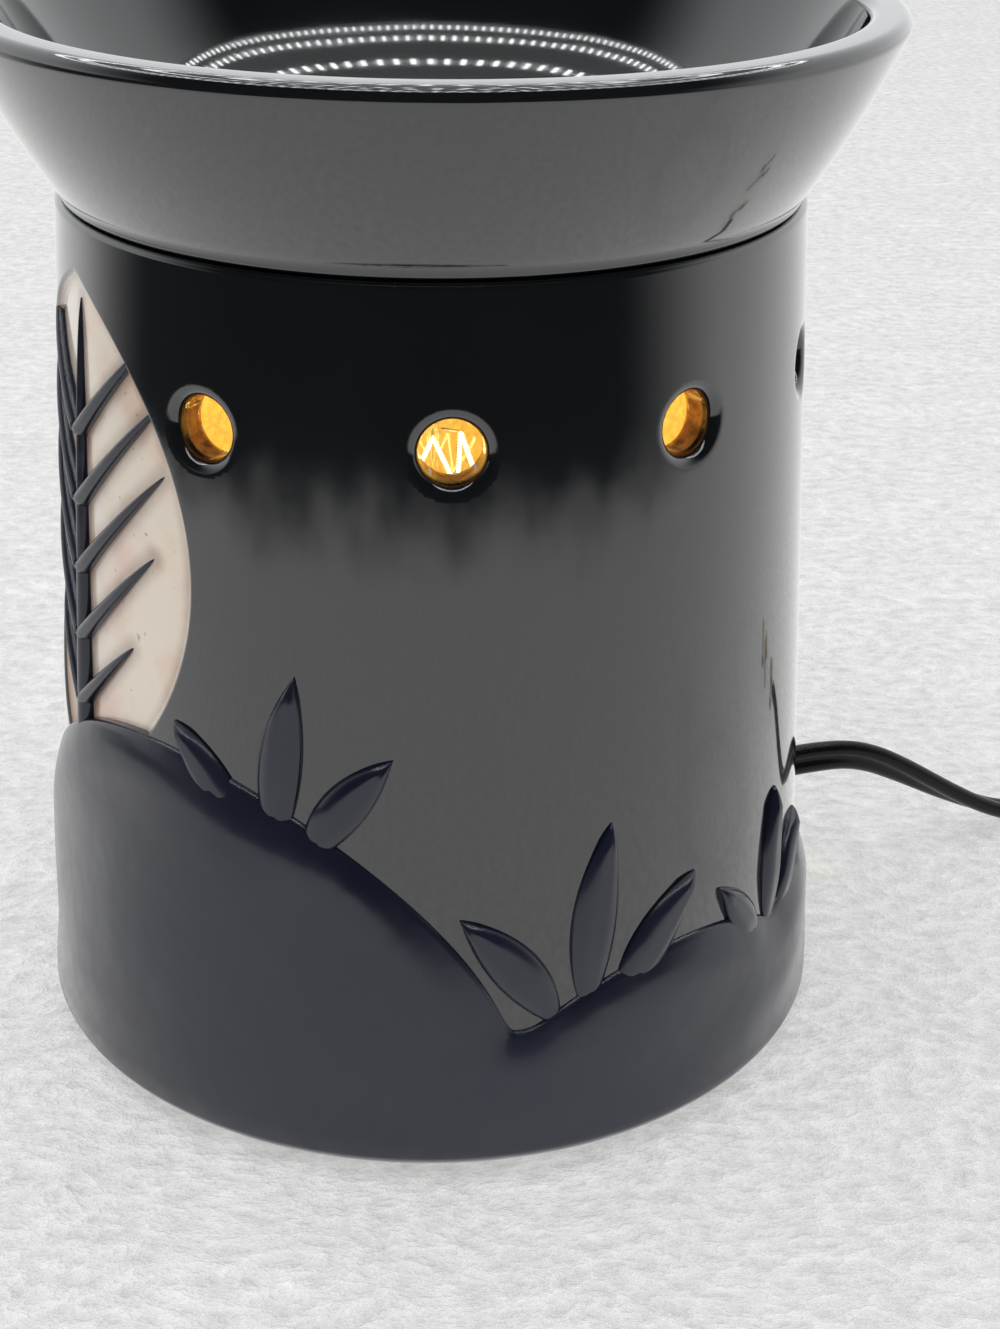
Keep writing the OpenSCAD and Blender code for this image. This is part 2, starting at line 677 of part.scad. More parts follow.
module socket_body() {
    plinth_r = cup_r - cup_t - socket_gap;
    color(porcelain) difference() {
        union() {
            translate([0, 0, cup_top - plinth_h]) cylinder(h = plinth_h, r = plinth_r);
            translate([0, 0, cup_top]) cylinder(h = flange_t, r = cup_r);
            translate([0, 0, cup_top]) cylinder(h = socket_top - cup_top, r = socket_r);
        }
        translate([0, 0, contact_z])
            cylinder(h = socket_cover + contact_h + 2, r = shell_r + shell_t + socket_gap);
        at_terminals() {
            translate([0, -terminal_w / 2 - socket_gap, 0])
                cube([socket_r, terminal_w + 2 * socket_gap, terminal_h + socket_gap]);
            translate([-terminal_shank_l - socket_gap, 0, terminal_h / 2]) rotate([0, 90, 0])
                cylinder(h = terminal_shank_l + 1, r = terminal_shank_r + thread_gap);
        }
    }
}

module socket_shell() {
    color(brass) ring(contact_z, socket_top - contact_z, shell_r + shell_t, shell_r);
}

module socket_contact() {
    color(brass) translate([0, 0, contact_z]) {
        cylinder(h = contact_h / 2, r = shell_r - contact_side);
        cylinder(h = contact_h, r = tip_r);
    }
}

module socket_terminals() {
    color(brass) at_terminals() difference() {
        translate([0, -terminal_w / 2, 0]) cube([terminal_t, terminal_w, terminal_h]);
        translate([-1, 0, terminal_h / 2]) rotate([0, 90, 0])
            cylinder(h = terminal_t + 2, r = terminal_shank_r + thread_gap);
    }
}

module terminal_screws() {
    color(steel) at_terminals() translate([0, 0, terminal_h / 2]) rotate([0, 90, 0]) {
        translate([0, 0, -terminal_shank_l]) cylinder(h = terminal_shank_l + terminal_t, r = terminal_shank_r);
        translate([0, 0, terminal_t]) cylinder(h = terminal_head_t, r = terminal_head_r);
    }
}

// The bulb's outline from its neck to its top, drawn in by a depth
function bulb_path(depth) =
    let (blend_x = neck_r + neck_blend,
         blend_z = globe_z - sqrt(pow(globe_r + neck_blend, 2) - blend_x * blend_x),
         turn = atan2(globe_z - blend_z, -blend_x))
    concat([[neck_r - depth, neck_z]], arc(blend_x, blend_z, neck_blend + depth, 180, turn),
        arc(0, globe_z, globe_r - depth, turn - 180, 90, 24));

module bulb_glass() {
    inner = bulb_path(glass_t);
    color(clear_glass) rotate_extrude()
        polygon(concat(bulb_path(0), [for (i = [len(inner) - 1:-1:0]) inner[i]]));
}

module bulb_cap() {
    color(brass) ring(cap_z, cap_l, cap_r, cap_r - cap_t);
}

module bulb_insulator() {
    color(soft_black) translate([0, 0, bulb_z + tip_h])
        cylinder(h = insulator_h, r1 = tip_r + 0.2, r2 = cap_r - cap_t / 2);
}

module bulb_tip() {
    color(steel) translate([0, 0, bulb_z]) cylinder(h = tip_h, r1 = tip_r * 0.7, r2 = tip_r);
}

module bulb_stem() {
    flare_z = neck_z + glass_t;
    color(clear_glass) {
        translate([0, 0, flare_z])
            cylinder(h = pinch_z - pinch_l - flare_z, r1 = neck_in_r - socket_gap, r2 = 2 * arbor_r);
        translate([0, 0, pinch_z - pinch_l]) {
            cylinder(h = pinch_l, r = 2 * arbor_r);
            cylinder(h = pinch_l + filament_high + arbor_r - pinch_z, r = arbor_r);
        }
    }
}

function at_az(r, az, z) = [r * sin(az), -r * cos(az), z];
function foot_at(i) = at_az(filament_foot_r, filament_az[i], filament_low);
function top_at(i) = at_az(filament_top_r, (filament_az[i] + filament_az[i + 1]) / 2, filament_high);

module lead_in_wires() {
    color(steel) for (i = [0, 3]) {
        base = at_az(1.4 * arbor_r, filament_az[i], pinch_z);
        knee = at_az(filament_foot_r - 1, filament_az[i], filament_low - 3);
        stop = foot_at(i) - [0, 0, filament_wire_r + wire_gap];
        rod(base, knee, support_r);
        translate(knee) sphere(support_r * joint_swell, $fn = 24);
        rod(knee, stop, support_r);
    }
}

module filament() {
    color(tungsten) {
        for (i = [0:2]) {
            rod(foot_at(i), top_at(i), filament_wire_r);
            rod(top_at(i), foot_at(i + 1), filament_wire_r);
            translate(top_at(i)) sphere(filament_wire_r * joint_swell, $fn = 24);
        }
        for (i = [0:3]) translate(foot_at(i)) sphere(filament_wire_r * joint_swell, $fn = 24);
    }
}

module filament_supports() {
    gap = filament_wire_r + wire_gap;
    color(steel) {
        for (i = [0:2]) {
            az = (filament_az[i] + filament_az[i + 1]) / 2;
            rod(at_az(arbor_r, az, filament_high), at_az(filament_top_r - gap, az, filament_high), support_r);
        }
        for (i = [1, 2])
            rod(at_az(arbor_r, filament_az[i], filament_low),
                at_az(filament_foot_r - gap, filament_az[i], filament_low), support_r);
    }
}

module cord_grommet() {
    out_x = body_radius(cord_z) + grommet_stand;
    in_x = body_radius(cord_z) - wall_t - grommet_stand;
    color(soft_black) radial(cord_az) translate([0, 0, cord_z]) difference() {
        rotate([0, 90, 0]) {
            translate([0, 0, in_x - grommet_flange_t])
                cylinder(h = out_x - in_x + 2 * grommet_flange_t, r = grommet_r);
            translate([0, 0, out_x]) cylinder(h = grommet_flange_t, r = grommet_flange_r);
            translate([0, 0, in_x - grommet_flange_t]) cylinder(h = grommet_flange_t, r = grommet_flange_r);
        }
        translate([0, -cord_t / 2 - grommet_gap, -cord_w / 2 - grommet_gap])
            cube([base_r + 20, cord_t + 2 * grommet_gap, cord_w + 2 * grommet_gap]);
    }
}

module socket_leads() {
    color(soft_black) for (route = [lead_a_route, lead_b_route])
        tube([for (p = route) [p.x, p.y, p.z, 0]], 2 * lead_r, 2 * lead_r, 8);
}

module cord_lead() {
    color(soft_black) tube(cord_lead_route, cord_w, cord_t, 8);
}

module cord_middle() {
    color(soft_black) tube(cord_middle_route, cord_w, cord_t, 8);
}

module cord_coil() {
    color(soft_black) polyhedron(coil_skin, tube_faces(len(coil_route), coil_sides), convexity = 20);
}

// A strap round the coil's turns, on the coil's +X side
module coil_tie() {
    from = coil_r - (coil_turns - 0.25) * turn_pitch - cord_t / 2 - 2 * turn_gap;
    to = coil_r - 0.75 * turn_pitch + cord_t / 2 + turn_gap;
    room = [to - from, tie_w + 2, 2 * cord_w + turn_gap + 2 * tie_gap];
    color(soft_black) translate([coil_x + from, coil_y, coil_low - cord_w / 2 - tie_gap]) difference() {
        translate([-tie_t, -tie_w / 2, -tie_t]) cube([room.x + 2 * tie_t, tie_w, room.z + 2 * tie_t]);
        translate([0, -room.y / 2, 0]) cube(room);
    }
}

module at_switch() {
    translate([switch_x, switch_y, 0]) children();
}

// The switch's plan, drawn in by a depth
module switch_plan(depth) {
    square([switch_l - switch_w, switch_w - 2 * depth], center = true);
    for (side = [-1, 1]) translate([side * (switch_l - switch_w) / 2, 0]) circle(switch_w / 2 - depth);
}

// What both covers leave free: the cord's ends, the thumbwheel and its axle's seats
module switch_room() {
    translate([-switch_l, -cord_w / 2 - switch_gap, switch_mid - cord_t / 2 - switch_gap])
        cube([2 * switch_l, cord_w + 2 * switch_gap, cord_t + 2 * switch_gap]);
    translate([0, wheel_y, switch_mid]) {
        cylinder(h = wheel_t + 2 * switch_gap, r = wheel_r + switch_gap, center = true);
        cylinder(h = switch_h - 2 * switch_t + 2 * axle_seat, r = axle_r + axle_gap, center = true);
    }
}

module switch_lower() {
    color(soft_black) at_switch() difference() {
        union() {
            difference() {
                linear_extrude(switch_mid) switch_plan(0);
                translate([0, 0, switch_t]) linear_extrude(switch_mid) switch_plan(switch_t);
            }
            for (side = [-1, 1]) translate([side * screw_x, 0, 0]) cylinder(h = switch_mid, r = pillar_r);
        }
        switch_room();
        for (side = [-1, 1]) translate([side * screw_x, 0, -1]) {
            cylinder(h = switch_h, r = screw_r + socket_gap);
            cylinder(h = screw_head_t + 1, r = screw_head_r + socket_gap);
        }
    }
}

module switch_upper() {
    color(soft_black) at_switch() difference() {
        union() {
            difference() {
                translate([0, 0, switch_mid]) linear_extrude(switch_mid) switch_plan(0);
                translate([0, 0, switch_mid - switch_t]) linear_extrude(switch_mid) switch_plan(switch_t);
            }
            for (side = [-1, 1]) translate([side * screw_x, 0, switch_mid])
                cylinder(h = switch_mid - switch_t / 2, r = pillar_r);
        }
        switch_room();
        for (side = [-1, 1]) translate([side * screw_x, 0, 0])
            cylinder(h = switch_h - switch_t, r = screw_r + thread_gap);
    }
}

module switch_wheel() {
    color(soft_black) at_switch() translate([0, wheel_y, switch_mid]) difference() {
        cylinder(h = wheel_t, r = wheel_r, center = true);
        cylinder(h = wheel_t + 2, r = axle_r + axle_gap, center = true);
        for (i = [0:groove_count - 1]) rotate(360 * i / groove_count) translate([wheel_r, 0, 0])
            cylinder(h = wheel_t + 2, r = groove_r, center = true, $fn = 24);
    }
}

module switch_axle() {
    color(steel) at_switch() translate([0, wheel_y, switch_mid])
        cylinder(h = switch_h - 2 * switch_t + 2 * axle_seat - axle_gap, r = axle_r, center = true);
}

module switch_screws() {
    color(steel) at_switch() for (side = [-1, 1]) translate([side * screw_x, 0, 0]) {
        cylinder(h = switch_h - switch_t - switch_gap, r = screw_r);
        cylinder(h = screw_head_t, r = screw_head_r);
    }
}

// A contact strip stands on the lower cover between each cord end and the thumbwheel
module switch_contacts() {
    strip_x = wheel_r + switch_gap + strip_w / 2;
    color(brass) at_switch() for (side = [-1, 1]) translate([side * strip_x - strip_w / 2, strip_y, switch_t]) {
        cube([strip_w, strip_t, switch_mid + cord_t / 2 - switch_t]);
        translate([0, strip_t - strip_foot, 0]) cube([strip_w, strip_foot, strip_t]);
    }
}

module plug_body() {
    round_r = plug_h / 2;
    color(soft_black) translate([sleeve_x, plug_y, coil_high]) difference() {
        rotate([90, 0, 90]) {
            cylinder(h = sleeve_l, r1 = sleeve_r, r2 = sleeve_root_r);
            translate([0, 0, sleeve_l]) linear_extrude(plug_l) {
                square([plug_w - plug_h, plug_h], center = true);
                for (side = [-1, 1]) translate([side * (plug_w - plug_h) / 2, 0]) circle(round_r);
            }
        }
        for (side = [-1, 1]) translate([sleeve_l + plug_l - prong_root - prong_gap, side * blade_pitch / 2, 0])
            translate([0, -prong_t / 2 - prong_gap, -prong_w / 2 - prong_gap])
                cube([prong_root + 1, prong_t + 2 * prong_gap, prong_w + 2 * prong_gap]);
    }
}

module plug_blades() {
    color(brass) translate([plug_x + plug_l, plug_y, coil_high]) for (side = [-1, 1])
        translate([-prong_root, side * blade_pitch / 2, 0]) difference() {
            translate([0, -prong_t / 2, -prong_w / 2]) cube([prong_root + prong_l, prong_t, prong_w]);
            translate([prong_root + prong_l - 2 * prong_hole_r - 1.5, 0, 0]) rotate([90, 0, 0])
                cylinder(h = prong_t + 2, r = prong_hole_r, center = true);
        }
}

body_shell();
wax_dish();
foot_pads();
stem_nipple();
stem_nuts();
stem_washer();
stem_gasket();
socket_cup();
socket_body();
socket_shell();
socket_contact();
socket_terminals();
terminal_screws();
bulb_glass();
bulb_cap();
bulb_insulator();
bulb_tip();
bulb_stem();
lead_in_wires();
filament();
filament_supports();
cord_grommet();
socket_leads();
cord_lead();
cord_middle();
cord_coil();
coil_tie();
switch_lower();
switch_upper();
switch_wheel();
switch_axle();
switch_screws();
switch_contacts();
plug_body();
plug_blades();
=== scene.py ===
"""Looks of an electric wax warmer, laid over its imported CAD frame.

The frame is in metres. Sizes here are millimetres unless a line says otherwise, and MM turns them to metres.
Z is up, the viewer stands on the -Y side, and an azimuth is measured round the body from that side, to the
viewer's right. The body, dish, bulb, cord, switch wheel and plug are new surfaces. Other parts stay as CAD
nodes, or as copies of them with rounded edges.
"""
from functools import partial
from math import atan, radians

import bmesh
import bpy
import numpy as np
from bpy.props import FloatProperty, FloatVectorProperty, PointerProperty
from mathutils import Matrix


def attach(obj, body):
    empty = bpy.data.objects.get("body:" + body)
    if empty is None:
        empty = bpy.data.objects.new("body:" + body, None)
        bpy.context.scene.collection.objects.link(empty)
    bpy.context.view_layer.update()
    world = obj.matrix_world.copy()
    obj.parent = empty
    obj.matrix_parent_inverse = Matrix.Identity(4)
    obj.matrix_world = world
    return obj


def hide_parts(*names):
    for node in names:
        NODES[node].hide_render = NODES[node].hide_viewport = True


bl_info = {
    "name": "Wax warmer looks",
    "version": (1, 0, 0),
    "blender": (4, 5, 0),
    "location": "3D View > Sidebar > Warmer",
    "description": "Glazes, wires and lights an electric wax warmer on its CAD frame",
    "category": "Object",
}

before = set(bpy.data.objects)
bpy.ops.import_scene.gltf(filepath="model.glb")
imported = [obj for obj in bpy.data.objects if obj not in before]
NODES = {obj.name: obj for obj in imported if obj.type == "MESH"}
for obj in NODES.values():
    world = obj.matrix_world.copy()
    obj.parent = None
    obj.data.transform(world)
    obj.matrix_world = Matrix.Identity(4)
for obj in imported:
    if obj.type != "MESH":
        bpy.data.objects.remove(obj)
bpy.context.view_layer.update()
MM = 0.001

# Body: its wall is a slight cone, with vents evenly round it and none in the large leaf
BODY_H, BASE_R, TOP_R, WALL_T, RIM_ROUND = 122, 56, 50, 5, 0.8
FOOT_Z, FOOT_ROUND, FLOOR_Z, UNDER_Z, STEM_R, RECESS_R = 1.5, 2, 13, 8, 5.5, 42
VENT_Z, VENT_AZ, VENTS, VENT_R = 101.6, 2.6, 10, 4
LEAF_AZ, LEAF_Z, LEAF_L, LEAF_W = -64, 44, 72, 50
RIB_W, VEINS, VEIN_ANGLE = 4, 5, 50
GROUND_Z, BROW, SHOULDER, FOLD = 2.7, 0.7, 6.5, 0.4
# Azimuth, crest height and radius of each hill; azimuth, foot height and size of each tuft
HILLS = [(-165, 24, 42), (-108, 36, 38), (-42, 58, 44), (-4, 25, 40), (38, 30, 36), (76, 27, 30),
         (150, 32, 36)]
TUFTS = [(-22, 46, 1), (22, 22, 1.1), (60, 20, 0.9), (132, 22, 1), (168, 24, 1.2), (-150, 18, 0.9),
         (-118, 29, 1.1)]
BLADE_L, BLADE_W, BLADE_LEAN = 26, 6, 27

# Cord: x, y, z and roll, where 90 stands the flat cord on its edge
CORD_AZ, CORD_Z, CORD_HOLE_R = 90 + np.degrees(atan(0.4)), 21.5, 5
TO_SWITCH = [
    (40, 16, 21.5, 90), (48, 19.2, 21.5, 90), (56, 22.4, 21.5, 90), (62, 24.8, 21.4, 90),
    (68, 27.2, 20.7, 80), (73, 29.2, 18.9, 68), (78, 31.2, 16, 54), (83, 33.2, 12.7, 40), (88, 35.2, 9.4, 26),
    (93, 37.2, 6.4, 14), (98, 39.2, 3.9, 6), (103, 41.2, 2.3, 0), (108, 43.1, 1.6, 0), (113, 44.9, 1.5, 0),
    (119, 46.7, 2, 0), (125, 48, 3.5, 0), (131, 48.8, 5.1, 0), (136, 49, 5.8, 0), (140, 49, 6, 0)]
FROM_SWITCH = [
    (182, 49, 6, 0), (188, 49, 5.9, 12), (194, 49, 5.5, 35), (200, 48.4, 5, 60), (207, 45.8, 4.4, 80),
    (213, 41, 3.9, 90), (217, 34, 3.5, 90), (218, 27, 3.3, 90), (217, 20, 3.3, 90), (213, 13, 3.3, 90),
    (207, 8.2, 3.3, 90), (200, 5.6, 3.3, 90), (192, 5, 3.3, 90), (182, 5, 3.3, 90), (172, 5, 3.3, 90),
    (162, 5, 3.3, 90), (152, 5, 3.3, 90), (146, 5, 3.3, 90)]
LEADS = [
    [(40, 16, 22.8), (36, 14.4, 22.8), (31, 13.6, 23.2), (26, 14.4, 24.2), (20, 16.5, 26), (13, 17, 28),
     (6.5, 15.2, 28.8), (3, 12.9, 29), (1.75, 11.95, 29.2)],
    [(40, 16, 20.2), (36, 14.4, 20.2), (31, 10.5, 21.3), (27, 5.5, 23), (23, 0, 26), (18.5, -4, 28),
     (13.5, -7, 28.8), (10.8, -7.9, 29), (9.5, -7.45, 29.2)]]
LEAD_R = 0.9
COIL_X, COIL_Y, COIL_R, COIL_TURNS = 140, -30, 35, 3
COIL_LOW, COIL_HIGH, TURN_PITCH = 3.3, 9.0, 3.2
WHEEL = (161, 45.5, 6)
PLUG = (145.2, -65, 9)


def linear(hex_colour):
    """Linear red, green and blue of an sRGB hex colour."""
    c = np.array([int(hex_colour[i:i + 2], 16) for i in (1, 3, 5)]) / 255
    return tuple(float(x) for x in np.where(c <= 0.04045, c / 12.92, ((c + 0.055) / 1.055) ** 2.4))


def colour(name, description, hex_colour):
    """A colour that a user may change."""
    return FloatVectorProperty(name=name, description=description, subtype="COLOR", min=0, max=1,
                               default=linear(hex_colour))


def length(name, description, millimetres):
    """A length that a user may change."""
    return FloatProperty(name=name, description=description, unit="LENGTH", precision=4,
                         default=millimetres * MM)


class WarmerBody(bpy.types.PropertyGroup):
    """Relief and colours of the glazed body and dish."""
    ground_h: length("Ground relief", "How far the rolling ground stands out of the wall", 2)
    tuft_h: length("Tuft relief", "How far the tufts of blades stand out of the wall", 1.5)
    leaf_sink: length("Leaf depth", "How far the leaf's face is sunk into the wall", 1)
    rib_h: length("Rib relief", "How far the leaf's ribs stand out of the wall", 0.8)
    vent_round: length("Vent rounding", "Radius of the glaze's roll into each vent", 1.6)
    glaze: colour("Glaze", "Black gloss glaze", "#0e1013")
    ground: colour("Ground", "Blue-black satin glaze on the raised ground", "#131728")
    cream: colour("Leaf", "Cream of the leaf's face", "#e4d5c3")
    blush: colour("Blush", "Warm patches in the cream", "#dfbba6")
    wash: colour("Wash", "Brown wash beside the ribs", "#7d5340")
    clay: colour("Bare clay", "Fired clay inside the body", "#e6cfa0")
    # Painted glow: the bores' orange-brown stands for the bulb's amber light on bare clay
    painted_bore_glow: colour("Stained clay", "Clay in the vents' bores, browned by thin glaze", "#d08a34")


class WarmerLamp(bpy.types.PropertyGroup):
    """The lit bulb."""
    power: FloatProperty(name="Power", description="Light of the bulb", unit="POWER", default=0.115)
    glow: colour("Glow", "Colour of the bulb's light", "#ffd976")
    filament: FloatProperty(name="Filament", description="Brightness of the filament", default=14)


class WarmerCord(bpy.types.PropertyGroup):
    """The flat two-core lead and what is on it."""
    width: length("Cord width", "Width of the flat lead", 5.2)
    thickness: length("Cord thickness", "Thickness of the flat lead", 2.7)
    vinyl: colour("Vinyl", "Cord, tie and leads", "#0d0d0f")
    plastic: colour("Plastic", "Switch and plug mouldings", "#161617")
    rubber: colour("Rubber", "Feet, gasket and grommet", "#1a1918")


class WarmerStage(bpy.types.PropertyGroup):
    """Floor and light."""
    floor: colour("Floor", "Pale floor", "#f2f2f1")
    sky: FloatProperty(name="Sky", description="Strength of the even light", default=0.88)
    key: FloatProperty(name="Key light", description="Power of the overhead softbox", unit="POWER", default=4)


def around(steps):
    """Angles evenly round a circle, in radians."""
    return np.linspace(0, 2 * np.pi, steps, endpoint=False)


def arc(x, z, r, start, stop, steps):
    """Profile points of an arc, from one angle to another in degrees."""
    a = np.radians(np.linspace(start, stop, steps + 1))
    return np.column_stack([x + r * np.cos(a), z + r * np.sin(a)])


def step(x, low, high):
    """0 below low, 1 above high, and a smooth rise between."""
    t = np.clip((x - low) / (high - low), 0, 1)
    return t * t * (3 - 2 * t)


def unit(v):
    """Vectors at unit length."""
    return v / np.linalg.norm(v, axis=-1, keepdims=True)


def polar(r, a, z):
    """Points at radii, azimuths in radians and heights."""
    return np.stack(np.broadcast_arrays(r * np.sin(a), -r * np.cos(a), z), -1)


def at_azimuth(r, az, z):
    """A point at a radius, an azimuth in degrees and a height."""
    return polar(r, np.radians(az), z)


def facing(az, out, across, z):
    """Points at distances out along an azimuth in degrees and across it to the right, and at heights."""
    c, s = np.cos(np.radians(az)), np.sin(np.radians(az))
    return np.stack([out * s + across * c, across * s - out * c, z], -1)


def rounded(a, power):
    """Cosine and sine of angles, raised to a power with their signs kept: a circle at 1, squarer below it."""
    return [np.sign(f) * np.abs(f) ** power for f in (np.cos(a), np.sin(a))]


def quads(rows, cols, loop_rows=False):
    """Corner numbers of a grid's cells, row by row. Columns run round to the right and rows upwards, seen
    from outside. Columns close on themselves, and rows do where asked."""
    r, c = np.arange(rows if loop_rows else rows - 1)[:, None], np.arange(cols)
    up, right = (r + 1) % rows, (c + 1) % cols
    return np.stack([r * cols + c, r * cols + right, up * cols + right, up * cols + c], -1).reshape(-1, 4)


def turned(profile, segments):
    """Rings of a profile of (radius, height) points carried round the Z axis."""
    r, z = np.asarray(profile, float).T[:, :, None]
    return polar(r, around(segments), z)


def smoothed(points, steps):
    """A smooth curve through points: a cubic between two of them leaves each along its neighbours' chord."""
    p = np.asarray(points, float)
    slope = np.gradient(p, axis=0)
    t = (np.arange(steps) / steps)[None, :, None]
    a, b, da, db = p[:-1, None], p[1:, None], slope[:-1, None], slope[1:, None]
    curve = ((2 * t**3 - 3 * t**2 + 1) * a + (t**3 - 2 * t**2 + t) * da
             + (3 * t**2 - 2 * t**3) * b + (t**3 - t**2) * db)
    return np.concatenate([curve.reshape(-1, p.shape[1]), p[-1:]])


def directions(path):
    """Unit vectors along a path, level across it, and up from it."""
    along = unit(np.gradient(path, axis=0))
    side = unit(np.cross(along, [0, 0, 1]))
    return along, side, np.cross(side, along)


def swept(path, roll, section):
    """Rings of a flat section carried along a path. Its first axis is level across the path, turned by the
    roll."""
    _, side, up = directions(path)
    c, s = np.cos(np.radians(roll))[:, None], np.sin(np.radians(roll))[:, None]
    wide, thick = side * c + up * s, up * c - side * s
    section = section[::-1]
    return path[:, None] + section[None, :, :1] * wide[:, None] + section[None, :, 1:] * thick[:, None]


def capped(rings):
    """Rings with each end drawn together to a point, which closes a tube."""
    ends = rings[[0, -1]].mean(axis=1, keepdims=True) + 0 * rings[[0, -1]]
    return np.concatenate([ends[:1], rings, ends[1:]])


def linked(name, data):
    """A new object in the scene."""
    obj = bpy.data.objects.new(name, data)
    bpy.context.scene.collection.objects.link(obj)
    return obj


def hidden_from(obj, *rays):
    """Keeps an object out of what some kinds of rays see."""
    for ray in rays:
        setattr(obj, "visible_" + ray, False)


def placed(name, mesh, finish, body, nodes):
    """An object for a finished mesh, riding on its body and standing for its CAD nodes."""
    obj = linked(name, mesh)
    mesh.materials.clear()
    mesh.materials.append(finish_of(finish))
    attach(obj, body)
    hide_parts(*nodes)
    return obj


def piece(name, points, finish, body, slot, nodes, faces=None, loop=False, attributes=None, sharp=None):
    """A mesh that rides on a body, from rings of points in millimetres, which close on themselves where
    looped, or from points and faces of four corners. Welding closes seams and poles."""
    if faces is None:
        faces = quads(*points.shape[:2], loop_rows=loop)
    mesh = bpy.data.meshes.new(name)
    mesh.from_pydata((points.reshape(-1, 3) * MM).tolist(), [], faces.tolist())
    for key, values in (attributes or {}).items():
        mesh.attributes.new(key, "FLOAT", "POINT").data.foreach_set("value", values.astype(np.float32))
    shape = bmesh.new()
    shape.from_mesh(mesh)
    bmesh.ops.remove_doubles(shape, verts=shape.verts, dist=1e-7)
    shape.to_mesh(mesh)
    shape.free()
    mesh.shade_smooth()
    if sharp:
        mesh.set_sharp_from_angle(angle=radians(sharp))
    return placed(name, mesh, finish, body, nodes)


def bundle(name, parts, finish, slot, node):
    """One piece on the base from several strips of rings."""
    starts = np.cumsum([0] + [rings.shape[0] * rings.shape[1] for rings in parts])
    faces = [quads(*rings.shape[:2]) + start for rings, start in zip(parts, starts)]
    points = [rings.reshape(-1, 3) for rings in parts]
    return piece(name, np.concatenate(points), finish, "base", slot, [node], np.concatenate(faces))


def softened(name, node, width, finish):
    """A copy of a CAD node on the base: doubles merged, flat faces joined and sharp edges rounded."""
    shape = bmesh.new()
    shape.from_mesh(NODES[node].data)
    bmesh.ops.remove_doubles(shape, verts=shape.verts, dist=1e-6)
    bmesh.ops.dissolve_limit(shape, angle_limit=radians(0.5), verts=shape.verts, edges=shape.edges)
    mesh = bpy.data.meshes.new(name)
    shape.to_mesh(mesh)
    shape.free()
    obj = placed(name, mesh, finish, "base", [node])
    mesh.shade_smooth()
    edges = obj.modifiers.new("Rounded edges", "BEVEL")
    edges.width, edges.segments = width * MM, 3
    edges.limit_method, edges.angle_limit = "ANGLE", radians(40)
    edges.harden_normals = True


def paint(finish, *nodes):
    """Gives CAD nodes that stay in view a finish."""
    for node in nodes:
        for slot in NODES[node].material_slots:
            slot.material = finish_of(finish)


def fill(tree, node, sockets):
    """Sets a node's sockets: another node's output is linked, and a colour gets full alpha."""
    for key, value in sockets.items():
        socket = node.inputs[key.replace("_", " ") if isinstance(key, str) else key]
        if isinstance(value, bpy.types.NodeSocket):
            tree.links.new(value, socket)
        else:
            socket.default_value = (*value, 1) if socket.type == "RGBA" else value


def add(tree, kind, sockets=None, out=0, **settings):
    """Adds a node with its settings and sockets. Returns one of its outputs, or all of them for None."""
    node = tree.nodes.new("ShaderNode" + kind)
    for key, value in settings.items():
        setattr(node, key, value)
    fill(tree, node, sockets or {})
    return node.outputs if out is None else node.outputs[out]


def new_material(name, **sockets):
    """A node material with values on its Principled shader. Returns it, a function that adds a node to it,
    one that fills its shader, and Object coordinates."""
    material = bpy.data.materials.new(name)
    material.use_nodes = True
    tree = material.node_tree
    node, shade = partial(add, tree), partial(fill, tree, tree.nodes["Principled BSDF"])
    shade(sockets)
    return material, node, shade, node("TexCoord", out="Object")


# Settings of a node that mixes colours, and of one that maps a range with soft ends
COLOURS = {"out": 2, "data_type": "RGBA"}
SOFT = {"interpolation_type": "SMOOTHSTEP"}
METAL = {"Metallic": 1}
# Plain finishes: tint, or which of the cord's colours; roughness; size and depth of the grain; other settings
PLAIN = {
    "porcelain": ("#e8e3d8", 0.18, 6, 0.03, {"spread": 0.05, "tone": 0.03, "IOR": 1.54}),
    "nickel_plate": ("#c9c7c2", 0.3, 0.6, 0.004, METAL),
    "zinc_steel": ("#b4b6b8", 0.38, 0.8, 0.006, METAL),
    "soft_solder": ("#aeb0b3", 0.35, 0.7, 0.03, METAL),
    "rolled_brass": ("#d9b15c", 0.28, 0.7, 0.004, METAL),
    "black_vitrite": ("#17171a", 0.14, 3, 0.02, {"spread": 0.05}),
    "flex_vinyl": ("vinyl", 0.3, 0.5, 0.006, {"spread": 0.08, "Specular_IOR_Level": 0.2}),
    "moulded_plastic": ("plastic", 0.42, 0.45, 0.012, {"spread": 0.08}),
    "moulded_rubber": ("rubber", 0.72, 0.6, 0.015, {}),
}


def finish_of(key):
    """The material of a finish, made when it is first asked for. No finish has the name of a CAD slot."""
    if key in bpy.data.materials:
        return bpy.data.materials[key]
    scene = bpy.context.scene
    if key in PLAIN:
        tint, roughness, grain, depth, more = PLAIN[key]
        tint = linear(tint) if tint.startswith("#") else getattr(scene.warmer_cord, tint)
        return grained(key, tint, roughness, grain, depth, **more)
    if key == "blown_glass":
        return clear_glass(key)
    if key == "hot_tungsten":
        return hot_tungsten(key, scene.warmer_lamp.filament)
    if key == "glaze_ground":
        return satin_glaze(key, scene.warmer_body)
    return gloss_glaze(key, scene.warmer_body, key == "glaze_body")


